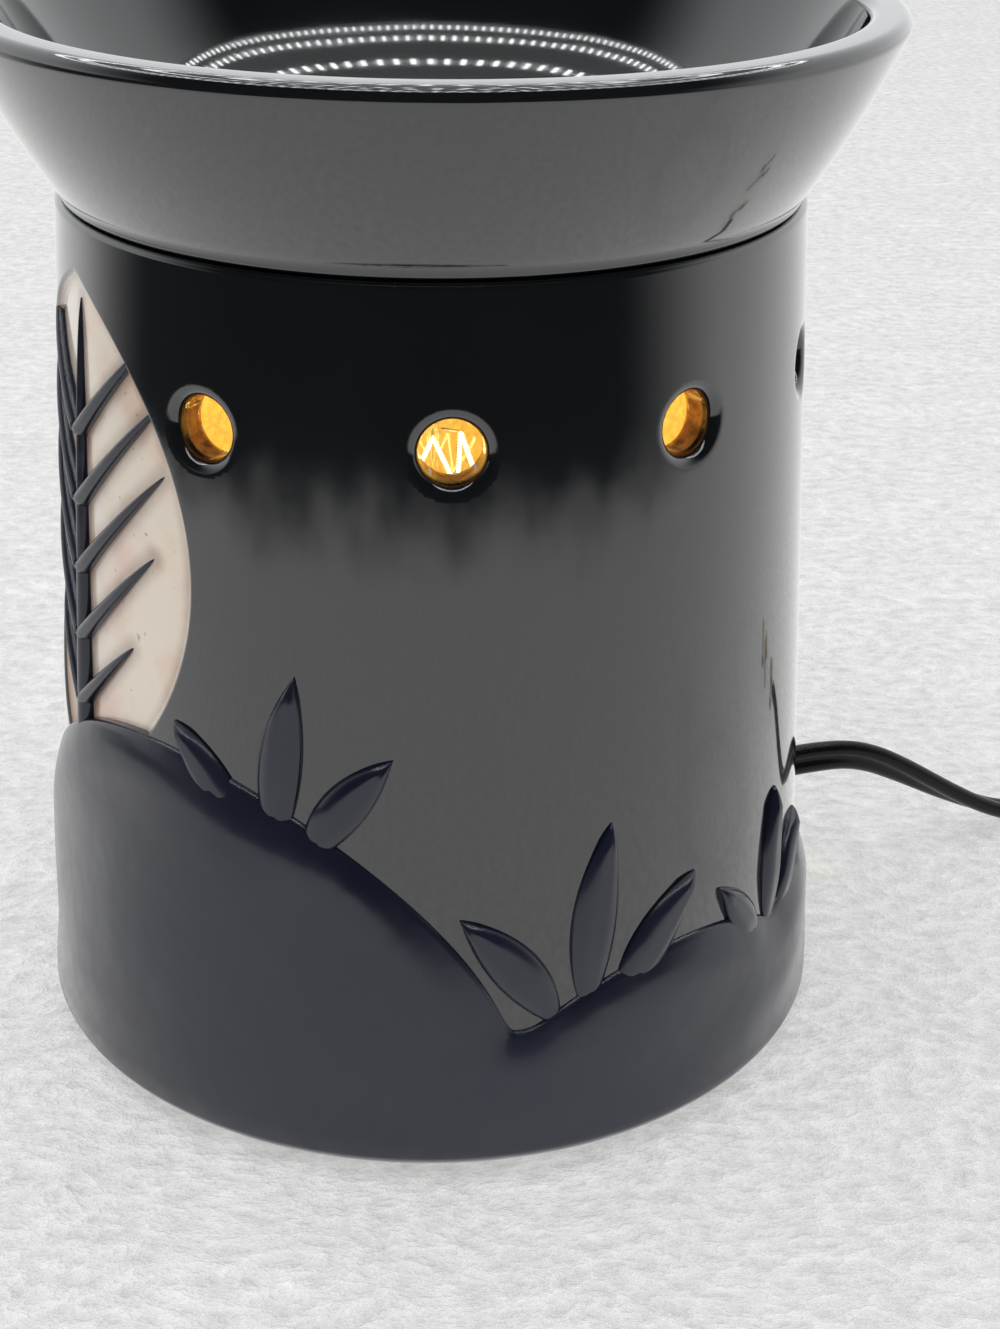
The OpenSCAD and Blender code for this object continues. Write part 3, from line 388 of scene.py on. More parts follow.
def grained(name, tint, roughness, grain_mm, depth_mm, spread=0.12, tone=0.12, **sockets):
    """A plain surface with a grain: noise of the grain's size varies its tone, roughness and bump."""
    material, node, shade, place = new_material(name, **sockets)
    noise = node("TexNoise", {"Vector": place, "Scale": 1 / (grain_mm * MM), "Detail": 3})
    dark, light = np.multiply(tint, 1 - tone), np.clip(np.multiply(tint, 1 + tone), 0, 1)
    low, high = max(roughness - spread, 0.02), roughness + spread
    shade({
        "Base Color": node("Mix", {0: noise, 6: dark, 7: light}, **COLOURS),
        "Roughness": node("MapRange", {"Value": noise, "From Min": 0.25, "From Max": 0.75, "To Min": low,
                                       "To Max": high}),
        "Normal": node("Bump", {"Height": noise, "Distance": depth_mm * MM})})
    return material


def gloss_glaze(name, p, decorated):
    """Black gloss glaze over slip-cast earthenware. A slow wave and a fine orange peel bend its reflections.

    On the body three attributes, in millimetres, divide it: the depth inside the leaf's cream and inside the
    bare clay, and the distance from the nearest rib or edge, where a brown wash has gathered.
    """
    wave_mm, wave_depth, peel_mm, peel_depth = 16, 0.14, 2.2, 0.003
    cloud_mm, grit_mm, grit_depth, wash_reach = 11, 1.1, 0.22, 2.2
    material, node, shade, place = new_material(name, IOR=1.6, Coat_Weight=1, Coat_Roughness=0.03,
                                                Coat_IOR=1.5)
    wave = node("TexNoise", {"Vector": place, "Scale": 1 / (wave_mm * MM), "Detail": 1, "Roughness": 0.35})
    peel = node("TexNoise", {"Vector": place, "Scale": 1 / (peel_mm * MM), "Detail": 1})
    broad = node("Bump", {"Height": wave, "Distance": wave_depth * MM})
    rough = node("MapRange", {"Value": wave, "To Min": 0.05, "To Max": 0.11})
    tint = node("Mix", {0: wave, 6: np.multiply(p.glaze, 0.8), 7: np.multiply(p.glaze, 1.25)}, **COLOURS)
    height, depth = peel, peel_depth * MM
    if decorated:
        cream_depth, bare_depth, beside = (node("Attribute", out="Fac", attribute_name=key)
                                           for key in ("cream_mm", "bare_mm", "wash_mm"))
        cream, bare = (node("MapRange", {"Value": inside, "From Min": -half, "From Max": half}, **SOFT)
                       for inside, half in ((cream_depth, 0.12), (bare_depth, 0.3)))
        cloud = node("TexNoise", {"Vector": place, "Scale": 1 / (cloud_mm * MM), "Detail": 3})
        grit = node("TexNoise", {"Vector": place, "Scale": 1 / (grit_mm * MM), "Detail": 3})
        patch = node("MapRange", {"Value": cloud, "From Min": 0.44, "From Max": 0.68})
        face = node("Mix", {0: patch, 6: p.cream, 7: p.blush}, **COLOURS)
        # The wash lies thickest in the corner beside a rib or the rim, and dots the face
        near = node("MapRange", {"Value": beside, "From Min": 0, "From Max": wash_reach, "To Min": 1,
                                 "To Max": 0}, **SOFT)
        washed = node("Math", {0: near, 1: cloud}, operation="MULTIPLY")
        speck = node("MapRange", {"Value": grit, "From Min": 0.69, "From Max": 0.74, "To Max": 0.55})
        for share in (washed, speck):
            face = node("Mix", {0: share, 6: face, 7: p.wash}, **COLOURS)
        # The bores are speckled with the clay's own grit and painted orange-brown as far as the inner wall,
        # which is the deepest bare clay: the orange is painted glow that stands for the bulb's amber light on
        # the clay
        fired = node("MapRange", {"Value": grit, "From Min": 0.35, "From Max": 0.65})
        clay, brown = (node("Mix", {0: fired, 6: np.multiply(tone, dark), 7: tone}, **COLOURS)
                       for tone, dark in ((p.clay, 0.72), (p.painted_bore_glow, 0.4)))
        bore = node("MapRange", {"Value": bare_depth, "From Min": 2.6, "From Max": 4, "To Min": 1,
                                 "To Max": 0})
        clay = node("Mix", {0: bore, 6: clay, 7: brown}, **COLOURS)
        for share, finish, softness in ((cream, face, 0.26), (bare, clay, 0.9)):
            tint = node("Mix", {0: share, 6: tint, 7: finish}, **COLOURS)
            rough = node("Mix", {0: share, 2: rough, 3: softness})
        height = node("Mix", {0: bare, 2: peel, 3: grit})
        depth = node("MapRange", {"Value": bare, "To Min": peel_depth * MM, "To Max": grit_depth * MM})
    fine = node("Bump", {"Height": height, "Distance": depth, "Normal": broad})
    shade({"Base Color": tint, "Roughness": rough, "Normal": fine})
    return material


def satin_glaze(name, p):
    """Blue-black satin glaze on the raised ground: clouds of tone with a dull, broad sheen."""
    cloud_mm, cloud_depth, grain_mm, grain_depth = 20, 0.6, 1.6, 0.01
    material, node, shade, place = new_material(name, IOR=1.5, Coat_Weight=0.25, Coat_Roughness=0.12,
                                                Coat_IOR=1.5)
    cloud = node("TexNoise", {"Vector": place, "Scale": 1 / (cloud_mm * MM), "Detail": 3})
    grain = node("TexNoise", {"Vector": place, "Scale": 1 / (grain_mm * MM), "Detail": 2})
    broad = node("Bump", {"Height": cloud, "Distance": cloud_depth * MM})
    dark, light = np.multiply(p.ground, 0.6), np.multiply(p.ground, 1.5)
    shade({
        "Base Color": node("Mix", {0: cloud, 6: dark, 7: light}, **COLOURS),
        "Roughness": node("MapRange", {"Value": cloud, "From Min": 0.3, "From Max": 0.7, "To Min": 0.2,
                                       "To Max": 0.34}),
        "Normal": node("Bump", {"Height": grain, "Distance": grain_depth * MM, "Normal": broad})})
    return material


def clear_glass(name):
    """Blown soda glass: colourless, with a faint wave from blowing."""
    wave_mm, wave_depth = 12, 0.05
    material, node, shade, place = new_material(name, Base_Color=(0.97, 0.98, 0.98), Roughness=0, IOR=1.5,
                                                Transmission_Weight=1)
    wave = node("TexNoise", {"Vector": place, "Scale": 1 / (wave_mm * MM), "Detail": 1})
    shade({"Normal": node("Bump", {"Height": wave, "Distance": wave_depth * MM})})
    return material


def hot_tungsten(name, strength):
    """Tungsten wire at working heat: an amber glow, a little cooler in patches."""
    patch_mm = 3
    material, node, shade, place = new_material(name, Base_Color=(0.5, 0.4, 0.3), Metallic=1, Roughness=0.4,
                                                Emission_Strength=strength)
    patch = node("TexNoise", {"Vector": place, "Scale": 1 / (patch_mm * MM), "Detail": 1})
    shade({"Emission Color": node("Mix", {0: patch, 6: linear("#ffc46b"), 7: linear("#ffe3ad")}, **COLOURS)})
    return material


def wall_radius(z):
    """Outer radius of the plain body at a height."""
    return BASE_R + (TOP_R - BASE_R) * z / BODY_H


def leaf_arc(l, w):
    """Radius of the two arcs that bound a pointed leaf of a length and width."""
    return (l * l + w * w) / (4 * w)


def inside_leaf(x, y, l, w):
    """Depth inside a pointed leaf that stands on the origin: the lesser of the depths inside its two arcs."""
    r = leaf_arc(l, w)
    return np.minimum(r - np.hypot(x - r + w / 2, y - l / 2), r - np.hypot(x + r - w / 2, y - l / 2))


def leaf_half(y, l, w):
    """Half the width of a pointed leaf at a height above its foot."""
    r = leaf_arc(l, w)
    return np.sqrt(r * r - (y - l / 2) ** 2) - r + w / 2


def joined(a, b, soft):
    """The greater of two heights, with a fillet where they meet."""
    h = np.clip(0.5 + 0.5 * (b - a) / soft, 0, 1)
    return a + (b - a) * h + soft * h * (1 - h)


def on_body(az0, t, z, h):
    """Points at a height over the wall, from distances across a plane that touches it at an azimuth."""
    r = wall_radius(z)
    return polar(r + h, np.radians(az0) + np.arcsin(t / r), z)


def rib_paths():
    """Centre line and half width of the leaf's middle rib and of its side veins, which bend upwards."""
    u = np.linspace(0, 1, 41)
    paths = [(np.column_stack([0 * u, u * (LEAF_L - RIB_W)]), RIB_W / 2 - RIB_W / 3 * u)]
    lean, start, bend = np.radians(VEIN_ANGLE), 0.3, 0.004
    for i in range(1, VEINS + 1):
        foot = LEAF_L * (i + 0.3) / (VEINS + 2.5)
        reach = 0.8 * leaf_half(foot, LEAF_L, LEAF_W) / np.sin(lean)
        for side in (-1, 1):
            x, y = start + (reach - start) * u * np.sin(lean), foot + reach * u * np.cos(lean)
            half = RIB_W / 3 + (RIB_W / 8 - RIB_W / 3) * u
            paths.append((np.column_stack([side * x, y + bend * x * x]), half))
    return paths


def strip(az0, z0, path, half, base, rise, crease=0.0):
    """Rings of a raised strip on the body: an arched section on a path, creased along its middle, with its
    root in the wall and its ends drawn together."""
    along = unit(np.gradient(path, axis=0))
    v, root = np.sin(np.radians(np.linspace(-90, 90, 13))), np.linspace(0.8, -0.8, 4)
    arch = np.sqrt(1 - v * v) * (1 - crease * np.exp(-(v / 0.16) ** 2))
    off = half[:, None] * np.concatenate([v, root])
    t, y = path[:, :1] + along[:, 1:] * off, path[:, 1:] - along[:, :1] * off
    h = np.concatenate([base + rise[:, None] * arch, np.full((len(path), len(root)), base - 0.8)], 1)
    return capped(on_body(az0, t, z0 + y, h))


def tuft_blades(p):
    """Strips of all the tufts: three pointed blades each, the outer ones leaning and bending outwards."""
    u = np.linspace(0, 1, 33)
    blades = []
    for az0, foot, size in TUFTS:
        for side in (-1, 0, 1):
            l, w, a = size * BLADE_L * (0.75 if side else 1), size * BLADE_W, np.radians(side * BLADE_LEAN)
            y = u * l
            x = (side if side else 0.5) * 0.008 * y * y
            path = np.column_stack([x * np.cos(a) + y * np.sin(a) + side * w * 0.6,
                                    y * np.cos(a) - x * np.sin(a)])
            half = np.maximum(leaf_half(y, l, w), 0.05)
            rise = p.tuft_h / MM * np.clip(half / 1.2, 0, 1) ** 0.6 * step(u, -0.1, 0.5)
            blades.append(strip(az0, foot, path, half, 0, rise, 0.12))
    return blades


def ground_rings(p):
    """Rings of the raised ground. Its edge is the highest hill at each azimuth, with the dips filleted. Below
    it come a small round brow and a long shoulder, which follow the distance to the edge, and soft folds."""
    az = np.arange(0, 360, 0.24)
    a, skin_r, relief, root = np.radians(az), BASE_R - 1.5, p.ground_h / MM, -2
    top = np.full(az.shape, 4.0)
    for az0, crest, radius in HILLS:
        turn = np.radians(az - az0)
        t = skin_r * np.sin(turn)
        rise = crest - radius + np.sqrt(np.clip(radius ** 2 - t ** 2, 0, None))
        top = joined(top, np.where((np.cos(turn) > 0) & (np.abs(t) < radius), rise, -20), 3)
    # Rows lie close together under the edge, and all the rows close up where there is little room below it
    drop = np.concatenate([[0, 0.06, 0.15, 0.3, 0.5, 0.75, 1.05, 1.4, 1.8, 2.3, 2.9, 3.6],
                           np.linspace(4.4, 14, 13)])[:, None]
    deep, room = drop[-1, 0] + 6, np.maximum(top - GROUND_Z - 2, 0.5)[None]
    down = np.where(room > deep, drop, np.minimum(drop, room * (drop + 0.02) / deep))
    down = np.concatenate([down, down[-1] + (room - down[-1]) * np.linspace(0, 1, 13)[1:, None]])
    z = top - down
    shift = np.arange(-50, 51)
    near = (np.arange(len(az))[:, None] + shift) % len(az)
    gap = np.hypot(shift * skin_r * a[1], top[near][None] - z[:, :, None]).min(axis=-1)
    gap[0] = 0
    brow = np.sqrt(1 - (1 - np.clip(gap / BROW, 0, 1)) ** 2)
    shoulder = 0.25 * brow + 0.75 * np.sin(np.pi / 2 * np.clip(gap / SHOULDER, 0, 1))
    folds = np.sin(5 * a + 1.2 * np.sin(z / 12) + 2 * np.sin(2 * a)) + 0.7 * np.sin(9 * a - z / 8)
    h = relief * shoulder + FOLD * folds * step(gap, 1.5, 11) * step(z, 5, 15)
    # From the foot's chamfer up the face to the edge, and back down inside the wall
    foot = np.array([[0, -1], [0, 0.15], [0.25, 0.35], [1, 0.725], [1.6, 0.925]])
    z = np.concatenate([GROUND_Z + foot[:, :1] + 0 * az, z[::-1], top[None], 0.5 * (top[None] + GROUND_Z)])
    h = np.concatenate([relief * foot[:, 1:] + 0 * az, h[::-1], np.full((2, len(az)), root)])
    return polar(wall_radius(z) + h, a, z)


class BodyGrid:
    """The body as one closed skin: a profile carried round the axis, with vents and the leaf let into it.

    Rows follow the profile from the foot up the outside, over the rim and down the inside. The cells that a
    vent or the leaf covers are left out, and rings of points lead on from the edge of the gap: through to the
    inner wall for a vent, and down a step and across the face to the middle for the leaf.
    """
    # What the attributes, in millimetres, say well outside the cream, deep in bare clay and far from any wash
    outside, deep, unwashed = -5.0, 5.0, 9.0

    def __init__(self, p):
        self.p = p
        foot_z, edge_z = FOOT_Z + FOOT_ROUND, BODY_H - RIM_ROUND
        floor_z, inner_r = FLOOR_Z + 1, TOP_R - WALL_T
        vent_z, cord_z = VENT_Z + np.linspace(-7.6, 7.6, 23), CORD_Z + np.linspace(-7.2, 7.2, 17)
        between, above = np.linspace(vent_z[0], cord_z[-1], 12)[1:-1], [119, 114]
        self.out_z = np.concatenate([
            np.linspace(foot_z, cord_z[0], 10)[:-1], cord_z, np.linspace(cord_z[-1], vent_z[0], 68)[1:-1],
            vent_z, np.linspace(vent_z[-1], edge_z, 13)[1:]])
        in_z = np.concatenate([above, vent_z[::-1], between, cord_z[::-1]])
        foot = arc(wall_radius(foot_z) - FOOT_ROUND, foot_z, FOOT_ROUND, -90, 0, 6)[:-1]
        wall = np.column_stack([wall_radius(self.out_z), self.out_z])
        rim = np.concatenate([
            arc(wall_radius(edge_z) - RIM_ROUND, edge_z, RIM_ROUND, 0, 90, 6)[1:],
            [[inner_r + 0.6, BODY_H], [inner_r + 0.15, BODY_H - 0.2], [inner_r, BODY_H - 0.8]]])
        inside = np.column_stack([wall_radius(in_z) - WALL_T, in_z])
        floor = np.concatenate([
            arc(wall_radius(floor_z) - WALL_T - 1, floor_z, 1, 0, -90, 4),
            [[30, FLOOR_Z], [12, FLOOR_Z], [STEM_R + 0.4, FLOOR_Z], [STEM_R, FLOOR_Z - 0.4],
             [STEM_R, UNDER_Z + 0.4], [STEM_R + 0.4, UNDER_Z], [20, UNDER_Z], [RECESS_R - 0.6, UNDER_Z],
             [RECESS_R, UNDER_Z - 0.6], [RECESS_R, FOOT_Z + 0.6], [RECESS_R + 0.6, FOOT_Z], [48, FOOT_Z]]])
        profile = np.concatenate([foot, wall, rim, inside, floor])
        # Each vent's sector is split evenly, and more finely where the viewer and the leaf are
        sector, counts = 360 / VENTS, np.full(VENTS, 30)
        counts[[7, 8, 9, 0, 1]] = 40, 56, 56, 44, 44
        self.az = np.concatenate([VENT_AZ + sector * (k - 0.5 + np.arange(n) / n)
                                  for k, n in enumerate(counts)])
        self.width = np.repeat(sector / counts, counts)
        rows, self.cols = len(profile), len(self.az)
        self.keep = np.ones((rows, self.cols), bool)
        self.low, top = len(foot), len(foot) + len(wall) + len(rim)
        bare = np.full((rows, self.cols), self.outside)
        bare[top:] = self.deep
        rings = polar(profile[:, :1], np.radians(self.az), profile[:, 1:])
        self.points, self.faces, self.count = [rings.reshape(-1, 3)], [], rows * self.cols
        self.fields = {"cream_mm": [np.full(self.count, self.outside)],
                       "wash_mm": [np.full(self.count, self.unwashed)], "bare_mm": [bare.ravel()]}
        vent_row = top + len(above)
        for az0 in VENT_AZ + sector * np.arange(VENTS):
            if np.cos(np.radians(az0 - LEAF_AZ)) < 0.94:
                self.tunnel(az0, VENT_Z, vent_z, VENT_R, p.vent_round / MM, vent_row)
        self.tunnel(CORD_AZ, CORD_Z, cord_z, CORD_HOLE_R, 0.6, vent_row + len(vent_z) + len(between))
        self.sink_leaf()
        self.faces.insert(0, quads(rows, self.cols, loop_rows=True)[self.keep.ravel()])

    def gap(self, az0, z0, zs, covers):
        """Leaves out the cells of the outer wall that a shape covers. Returns them and the corners round them
        in order, with each corner's direction and distance from the shape's middle."""
        first = int(np.searchsorted(self.out_z, zs[0] - 0.01))
        turn = np.radians((self.az + 0.5 * self.width - az0 + 180) % 360 - 180)
        mid = 0.5 * (zs[1:] + zs[:-1])[:, None]
        cells = covers(wall_radius(mid) * np.sin(turn), mid - z0) & (np.cos(turn) > 0.5)
        self.keep[self.low + first:self.low + first + len(mid)] &= ~cells
        ring = np.pad(cells, ((1, 1), (0, 0)))
        beside = np.roll(ring, 1, axis=1)
        touch = ring[1:].astype(int) + ring[:-1] + beside[1:] + beside[:-1]
        row, col = np.nonzero((touch > 0) & (touch < 4))
        turn = np.radians((self.az[col] - az0 + 180) % 360 - 180)
        t, dz = wall_radius(zs[row]) * np.sin(turn), zs[row] - z0
        order = np.argsort(np.arctan2(dz, t))
        row, col, t, dz = row[order], col[order], t[order], dz[order]
        return cells, row, col, (self.low + first + row) * self.cols + col, np.arctan2(dz, t), np.hypot(t, dz)

    def lead_on(self, edge, points, fields, end=None):
        """Adds rings of points from a gap's edge, with faces between them, to another gap's edge if given."""
        n = len(edge)
        new = self.count + np.arange(len(points) * n).reshape(-1, n)
        self.count += new.size
        self.points.append(points.reshape(-1, 3))
        for key, values in fields.items():
            self.fields[key].append(np.broadcast_to(values, new.shape).ravel())
        ids = np.concatenate([[edge], new] + ([] if end is None else [[end]]))
        self.faces.append(ids.ravel()[quads(len(ids), n)])

    def tunnel(self, az0, z0, zs, bore, lip, in_row):
        """A vent: along the wall to its mouth, round the glaze's roll, down the bore to the inner wall."""
        mouth, glazed = bore + lip, 2.2
        here = self.width[np.argmax(np.cos(np.radians(self.az - az0)))]
        reach = mouth + 0.25 + 0.5 * np.hypot(zs[1] - zs[0], wall_radius(z0) * np.radians(here))
        cells, row, col, edge, angle, rho = self.gap(az0, z0, zs, lambda t, dz: np.hypot(t, dz) < reach)
        m = len(zs) - 1
        self.keep[in_row:in_row + m] &= ~cells[::-1]
        t_in, dz = (wall_radius(zs[row]) - WALL_T) * np.sin(np.radians(self.az[col] - az0)), zs[row] - z0
        angle_in, rho_in = np.arctan2(dz, t_in), np.hypot(t_in, dz)

        def ring(rho, angle, depth, inner=0.0):
            t, z = rho * np.cos(angle), z0 + rho * np.sin(angle)
            return np.stack([np.sqrt((wall_radius(z) - inner) ** 2 - t * t) - depth, t, z])

        rings = [ring(rho + (mouth - rho) * f, angle, 0) for f in (0.5, 1)]
        bare = [self.outside, self.outside]
        for bend in np.radians((12, 25, 38, 51, 64, 77, 90)):
            depth = lip * (1 - np.cos(bend))
            rings.append(ring(mouth - lip * np.sin(bend) + 0 * angle, angle, depth))
            bare.append(depth - glazed)
        start, end = rings[-1], ring(bore + 0 * angle, angle, 0, WALL_T)
        for f in (0.2, 0.5, 0.8, 1):
            rings.append(start + (end - start) * f)
            bare.append(lip - glazed + (WALL_T - lip) * f)
        rings.append(ring(bore + (rho_in - bore) * 0.5, angle_in, 0, WALL_T))
        bare.append(self.deep)
        out, t, z = np.array(rings).transpose(1, 0, 2)
        fields = {"cream_mm": self.outside, "wash_mm": self.unwashed, "bare_mm": np.array(bare)[:, None]}
        self.lead_on(edge, facing(az0, out, t, z), fields, (in_row + m - row) * self.cols + col)

    def sink_leaf(self):
        """The leaf: a rounded step down inside its outline, and its face drawn in to the middle."""
        zs = self.out_z[(self.out_z > LEAF_Z - 4) & (self.out_z < LEAF_Z + LEAF_L + 3)]
        half, margin = LEAF_L / 2, 0.75
        _, _, _, edge, angle, rho = self.gap(
            LEAF_AZ, LEAF_Z + half, zs, lambda t, dz: inside_leaf(t, dz + half, LEAF_L, LEAF_W) > -margin)
        r = leaf_arc(LEAF_L, LEAF_W)
        c, s = np.cos(angle), np.sin(angle)
        back = (r - LEAF_W / 2) * np.abs(c)
        outline = np.sqrt(back ** 2 - (r - LEAF_W / 2) ** 2 + r * r) - back
        # Cosine of the angle between the outline's normal and the line to the middle
        lean = (outline + back) / r
        sink = self.p.leaf_sink / MM
        inward = np.array([-0.15, 0, 0.12, 0.25, 0.4, 0.55, 0.75, 1, 1.3])
        radii = [outline - np.minimum(e / lean, 0.9 * outline) for e in inward]
        radii[0] = np.minimum(radii[0], 0.4 * outline + 0.6 * rho)
        shrink = np.linspace(1, 0, 31)[1:]
        rho = np.concatenate([np.array(radii), radii[-1] * shrink[:, None]])
        depth = np.concatenate([-sink * step(inward, -0.05, 1.05), np.full(len(shrink), -sink)])
        t, y = rho * c, half + rho * s
        cream = inside_leaf(t, y, LEAF_L, LEAF_W) - 0.45
        wash = cream
        for path, width in rib_paths():
            away = np.hypot(t[..., None] - path[:, 0], y[..., None] - path[:, 1]) - width
            wash = np.minimum(wash, away.min(axis=-1))
        self.lead_on(edge, on_body(LEAF_AZ, t, LEAF_Z + y, depth[:, None] + 0 * rho),
                     {"cream_mm": cream, "wash_mm": wash, "bare_mm": self.outside})


class WARMER_OT_body(bpy.types.Operator):
    """Makes the glazed body with its vents and leaf, the raised ground, tufts and ribs on it, and its feet"""
    bl_idname = "warmer.body"
    bl_label = "Body"

    def execute(self, context):
        p = context.scene.warmer_body
        grid = BodyGrid(p)
        used, faces = np.unique(np.concatenate(grid.faces), return_inverse=True)
        fields = {key: np.concatenate(values)[used] for key, values in grid.fields.items()}
        piece("body", np.concatenate(grid.points)[used], "glaze_body", "base", "black_glaze", ["body_shell"],
              faces.reshape(-1, 4), attributes=fields)
        piece("ground", ground_rings(p), "glaze_ground", "base", "black_glaze", ["body_shell"], loop=True)
        bundle("tufts", tuft_blades(p), "glaze_ground", "black_glaze", "body_shell")
        # A rib thins towards its end, which is blunt
        u = np.linspace(0, 1, 41)
        tip, rise = np.sqrt(1 - u ** 6), (p.leaf_sink + p.rib_h) / MM
        ribs = [strip(LEAF_AZ, LEAF_Z, path, half * np.maximum(tip, 0.1), -p.leaf_sink / MM,
                      rise * np.maximum(tip, 0.15) * (1 - 0.45 * u)) for path, half in rib_paths()]
        bundle("leaf_ribs", ribs, "glaze_ground", "black_glaze", "body_shell")
        pad = np.concatenate([[[0, 0], [3.4, 0]], arc(3.5, 0.5, 0.5, -90, 0, 4), [[4, FOOT_Z], [0, FOOT_Z]]])
        feet = [turned(pad, 32) + at_azimuth(47.5, az, 0) for az in (45, 135, 225, 315)]
        bundle("feet", feet, "moulded_rubber", "soft_rubber", "foot_pads")
        return {"FINISHED"}


def dish_profile():
    """Profile of the dish from the middle of its underside, up its wall, over the lip and into the bowl."""
    seat, rim, under, thick, swell = BODY_H + 0.1, 146.5, 113.5, 5, 0.6
    bowl_z, bowl_r, lip_r, rim_r = under + thick, 32, 1.5, 61.5
    lip_z, in_r, foot_r, spigot = rim - lip_r, rim_r - 5.5, TOP_R - 0.5, TOP_R - WALL_T - 0.5
    # The lip's outer arc starts where the swelling wall runs into it
    lip = arc(rim_r - lip_r, lip_z, lip_r, -24, 90, 14)
    foot, brow = np.array([foot_r, seat + RIM_ROUND]), lip[0]
    lean = np.degrees(np.arctan2(*(brow - foot)))
    s, c = np.sin(np.radians(lean)), np.cos(np.radians(lean))
    bowl_x = in_r - (bowl_r - (bowl_z + bowl_r - lip_z) * s) / c
    ledge = np.degrees(np.arccos((spigot - 3.5 - bowl_x) / (bowl_r + thick)))
    t = np.linspace(0, 1, 19)[:, None]
    side = unit(np.array([brow[1] - foot[1], foot[0] - brow[0]]))
    wall = foot + (brow - foot) * t + side * swell * 4 * t * (1 - t)
    shelf = arc(bowl_x, bowl_z + bowl_r, bowl_r + thick, -90, -ledge, 10)
    flat = np.linspace(0, bowl_x, 5)[:, None]
    return np.concatenate([
        np.hstack([flat, 0 * flat + under])[:-1], shelf,
        [[spigot - 0.4, shelf[-1, 1]], [spigot, shelf[-1, 1] + 0.4], [spigot, seat - 0.5],
         [spigot + 0.4, seat]],
        arc(foot_r - RIM_ROUND, seat + RIM_ROUND, RIM_ROUND, -90, lean - 15, 6), wall[1:], lip[1:],
        arc(in_r + lip_r, lip_z, lip_r, 90, 180, 12), arc(bowl_x, bowl_z + bowl_r, bowl_r, -lean, -90, 30),
        np.hstack([flat, 0 * flat + bowl_z])[-2::-1]])


class WARMER_OT_dish(bpy.types.Operator):
    """Makes the lift-off wax dish"""
    bl_idname = "warmer.dish"
    bl_label = "Wax dish"

    def execute(self, context):
        piece("dish", turned(dish_profile(), 256), "glaze_dish", "dish", "black_glaze", ["wax_dish"])
        return {"FINISHED"}


def bulb_path(depth):
    """Outline of the bulb, drawn in by a depth: from its neck by a hollow curve to the globe's top."""
    neck, neck_z, blend, globe, globe_z = 5.5, (52, 60), 6, 20, 83
    x = neck + blend
    z = globe_z - np.sqrt((globe + blend) ** 2 - x * x)
    turn = np.degrees(np.arctan2(globe_z - z, -x))
    return np.concatenate([[[neck - depth, h] for h in neck_z], arc(x, z, blend + depth, 180, turn, 10),
                           arc(0, globe_z, globe - depth, turn - 180, 90, 40)[1:]])


def screw_thread():
    """Rings of the bulb's cap. Its thread is a wave that climbs as it goes round, dying out at both ends."""
    low, high, inner_r, outer_r, pitch, segments = 48, 60, 5.66, 5.95, 2.54, 72
    z = np.linspace(low, high, 73)
    wall = np.concatenate([np.column_stack([0 * z + inner_r, z[::-1]]),
                           np.column_stack([0 * z + outer_r, z])])
    rings = turned(wall, segments)
    height = rings[:, :, 2]
    depth = 0.16 * (1 - np.cos(2 * np.pi * height / pitch - around(segments)))
    depth *= step(height, low, low + 1.5) * step(-height, 0.8 - high, 2 - high)
    rings[:, :, :2] *= (1 - depth / np.hypot(rings[:, :, 0], rings[:, :, 1]))[:, :, None]
    return rings


def filament_coil():
    """Rings of the coiled wire: a helix round a zigzag of feet and tops, coarse enough to show."""
    az, foot, top = (101, 34, -33, -100), (6.2, 79.8), (4.2, 87.1)
    turns, coil_r, wire_r, blur = 110, 0.22, 0.1, 41
    knees = [at_azimuth(foot[0], az[0], foot[1])]
    for a, b in zip(az, az[1:]):
        knees += [at_azimuth(top[0], (a + b) / 2, top[1]), at_azimuth(foot[0], b, foot[1])]
    knees = np.array(knees)
    t = np.linspace(0, len(knees) - 1, 1300)
    line = np.stack([np.interp(t, np.arange(len(knees)), axis) for axis in knees.T], 1)
    end = blur // 2
    line[end:-end] = np.stack([np.convolve(axis, np.ones(blur) / blur, "valid") for axis in line.T], 1)
    along, side, up = directions(line)
    phase = np.linspace(0, 2 * np.pi * turns, len(line))[:, None]
    out = np.cos(phase) * side + np.sin(phase) * up
    a = around(6)[None, :, None]
    section = wire_r * (np.cos(a) * out[:, None] + np.sin(a) * along[:, None])
    return capped((line + coil_r * out)[:, None] + section)


class WARMER_OT_bulb(bpy.types.Operator):
    """Makes the clear bulb with its threaded cap and its lit filament"""
    bl_idname = "warmer.bulb"
    bl_label = "Bulb"

    def execute(self, context):
        glass_t = 0.6
        glass = np.concatenate([bulb_path(glass_t)[::-1], bulb_path(0)])
        piece("bulb_globe", turned(glass, 96), "blown_glass", "bulb", "clear_glass", ["bulb_glass"])
        piece("screw_cap", screw_thread(), "nickel_plate", "bulb", "brass", ["bulb_cap"], loop=True)
        piece("filament_wire", filament_coil(), "hot_tungsten", "bulb", "tungsten", ["filament"])
        ring = [[0, 45.2], [2.6, 45.2], [3.3, 45.7], [4.4, 46.8], [5.3, 47.5], [5.8, 48], [0, 48]]
        piece("cap_insulator", turned(ring, 48), "black_vitrite", "bulb", "black_insulator",
              ["bulb_insulator"], sharp=50)
        dot = [[0, 44], [1, 44.08], [1.7, 44.35], [2.2, 44.8], [2.4, 45.2], [0, 45.2]]
        piece("solder_tip", turned(dot, 32), "soft_solder", "bulb_carriage", "solder", ["bulb_tip"], sharp=60)
        paint("blown_glass", "bulb_stem")
        paint("nickel_plate", "lead_in_wires", "filament_supports")
        return {"FINISHED"}


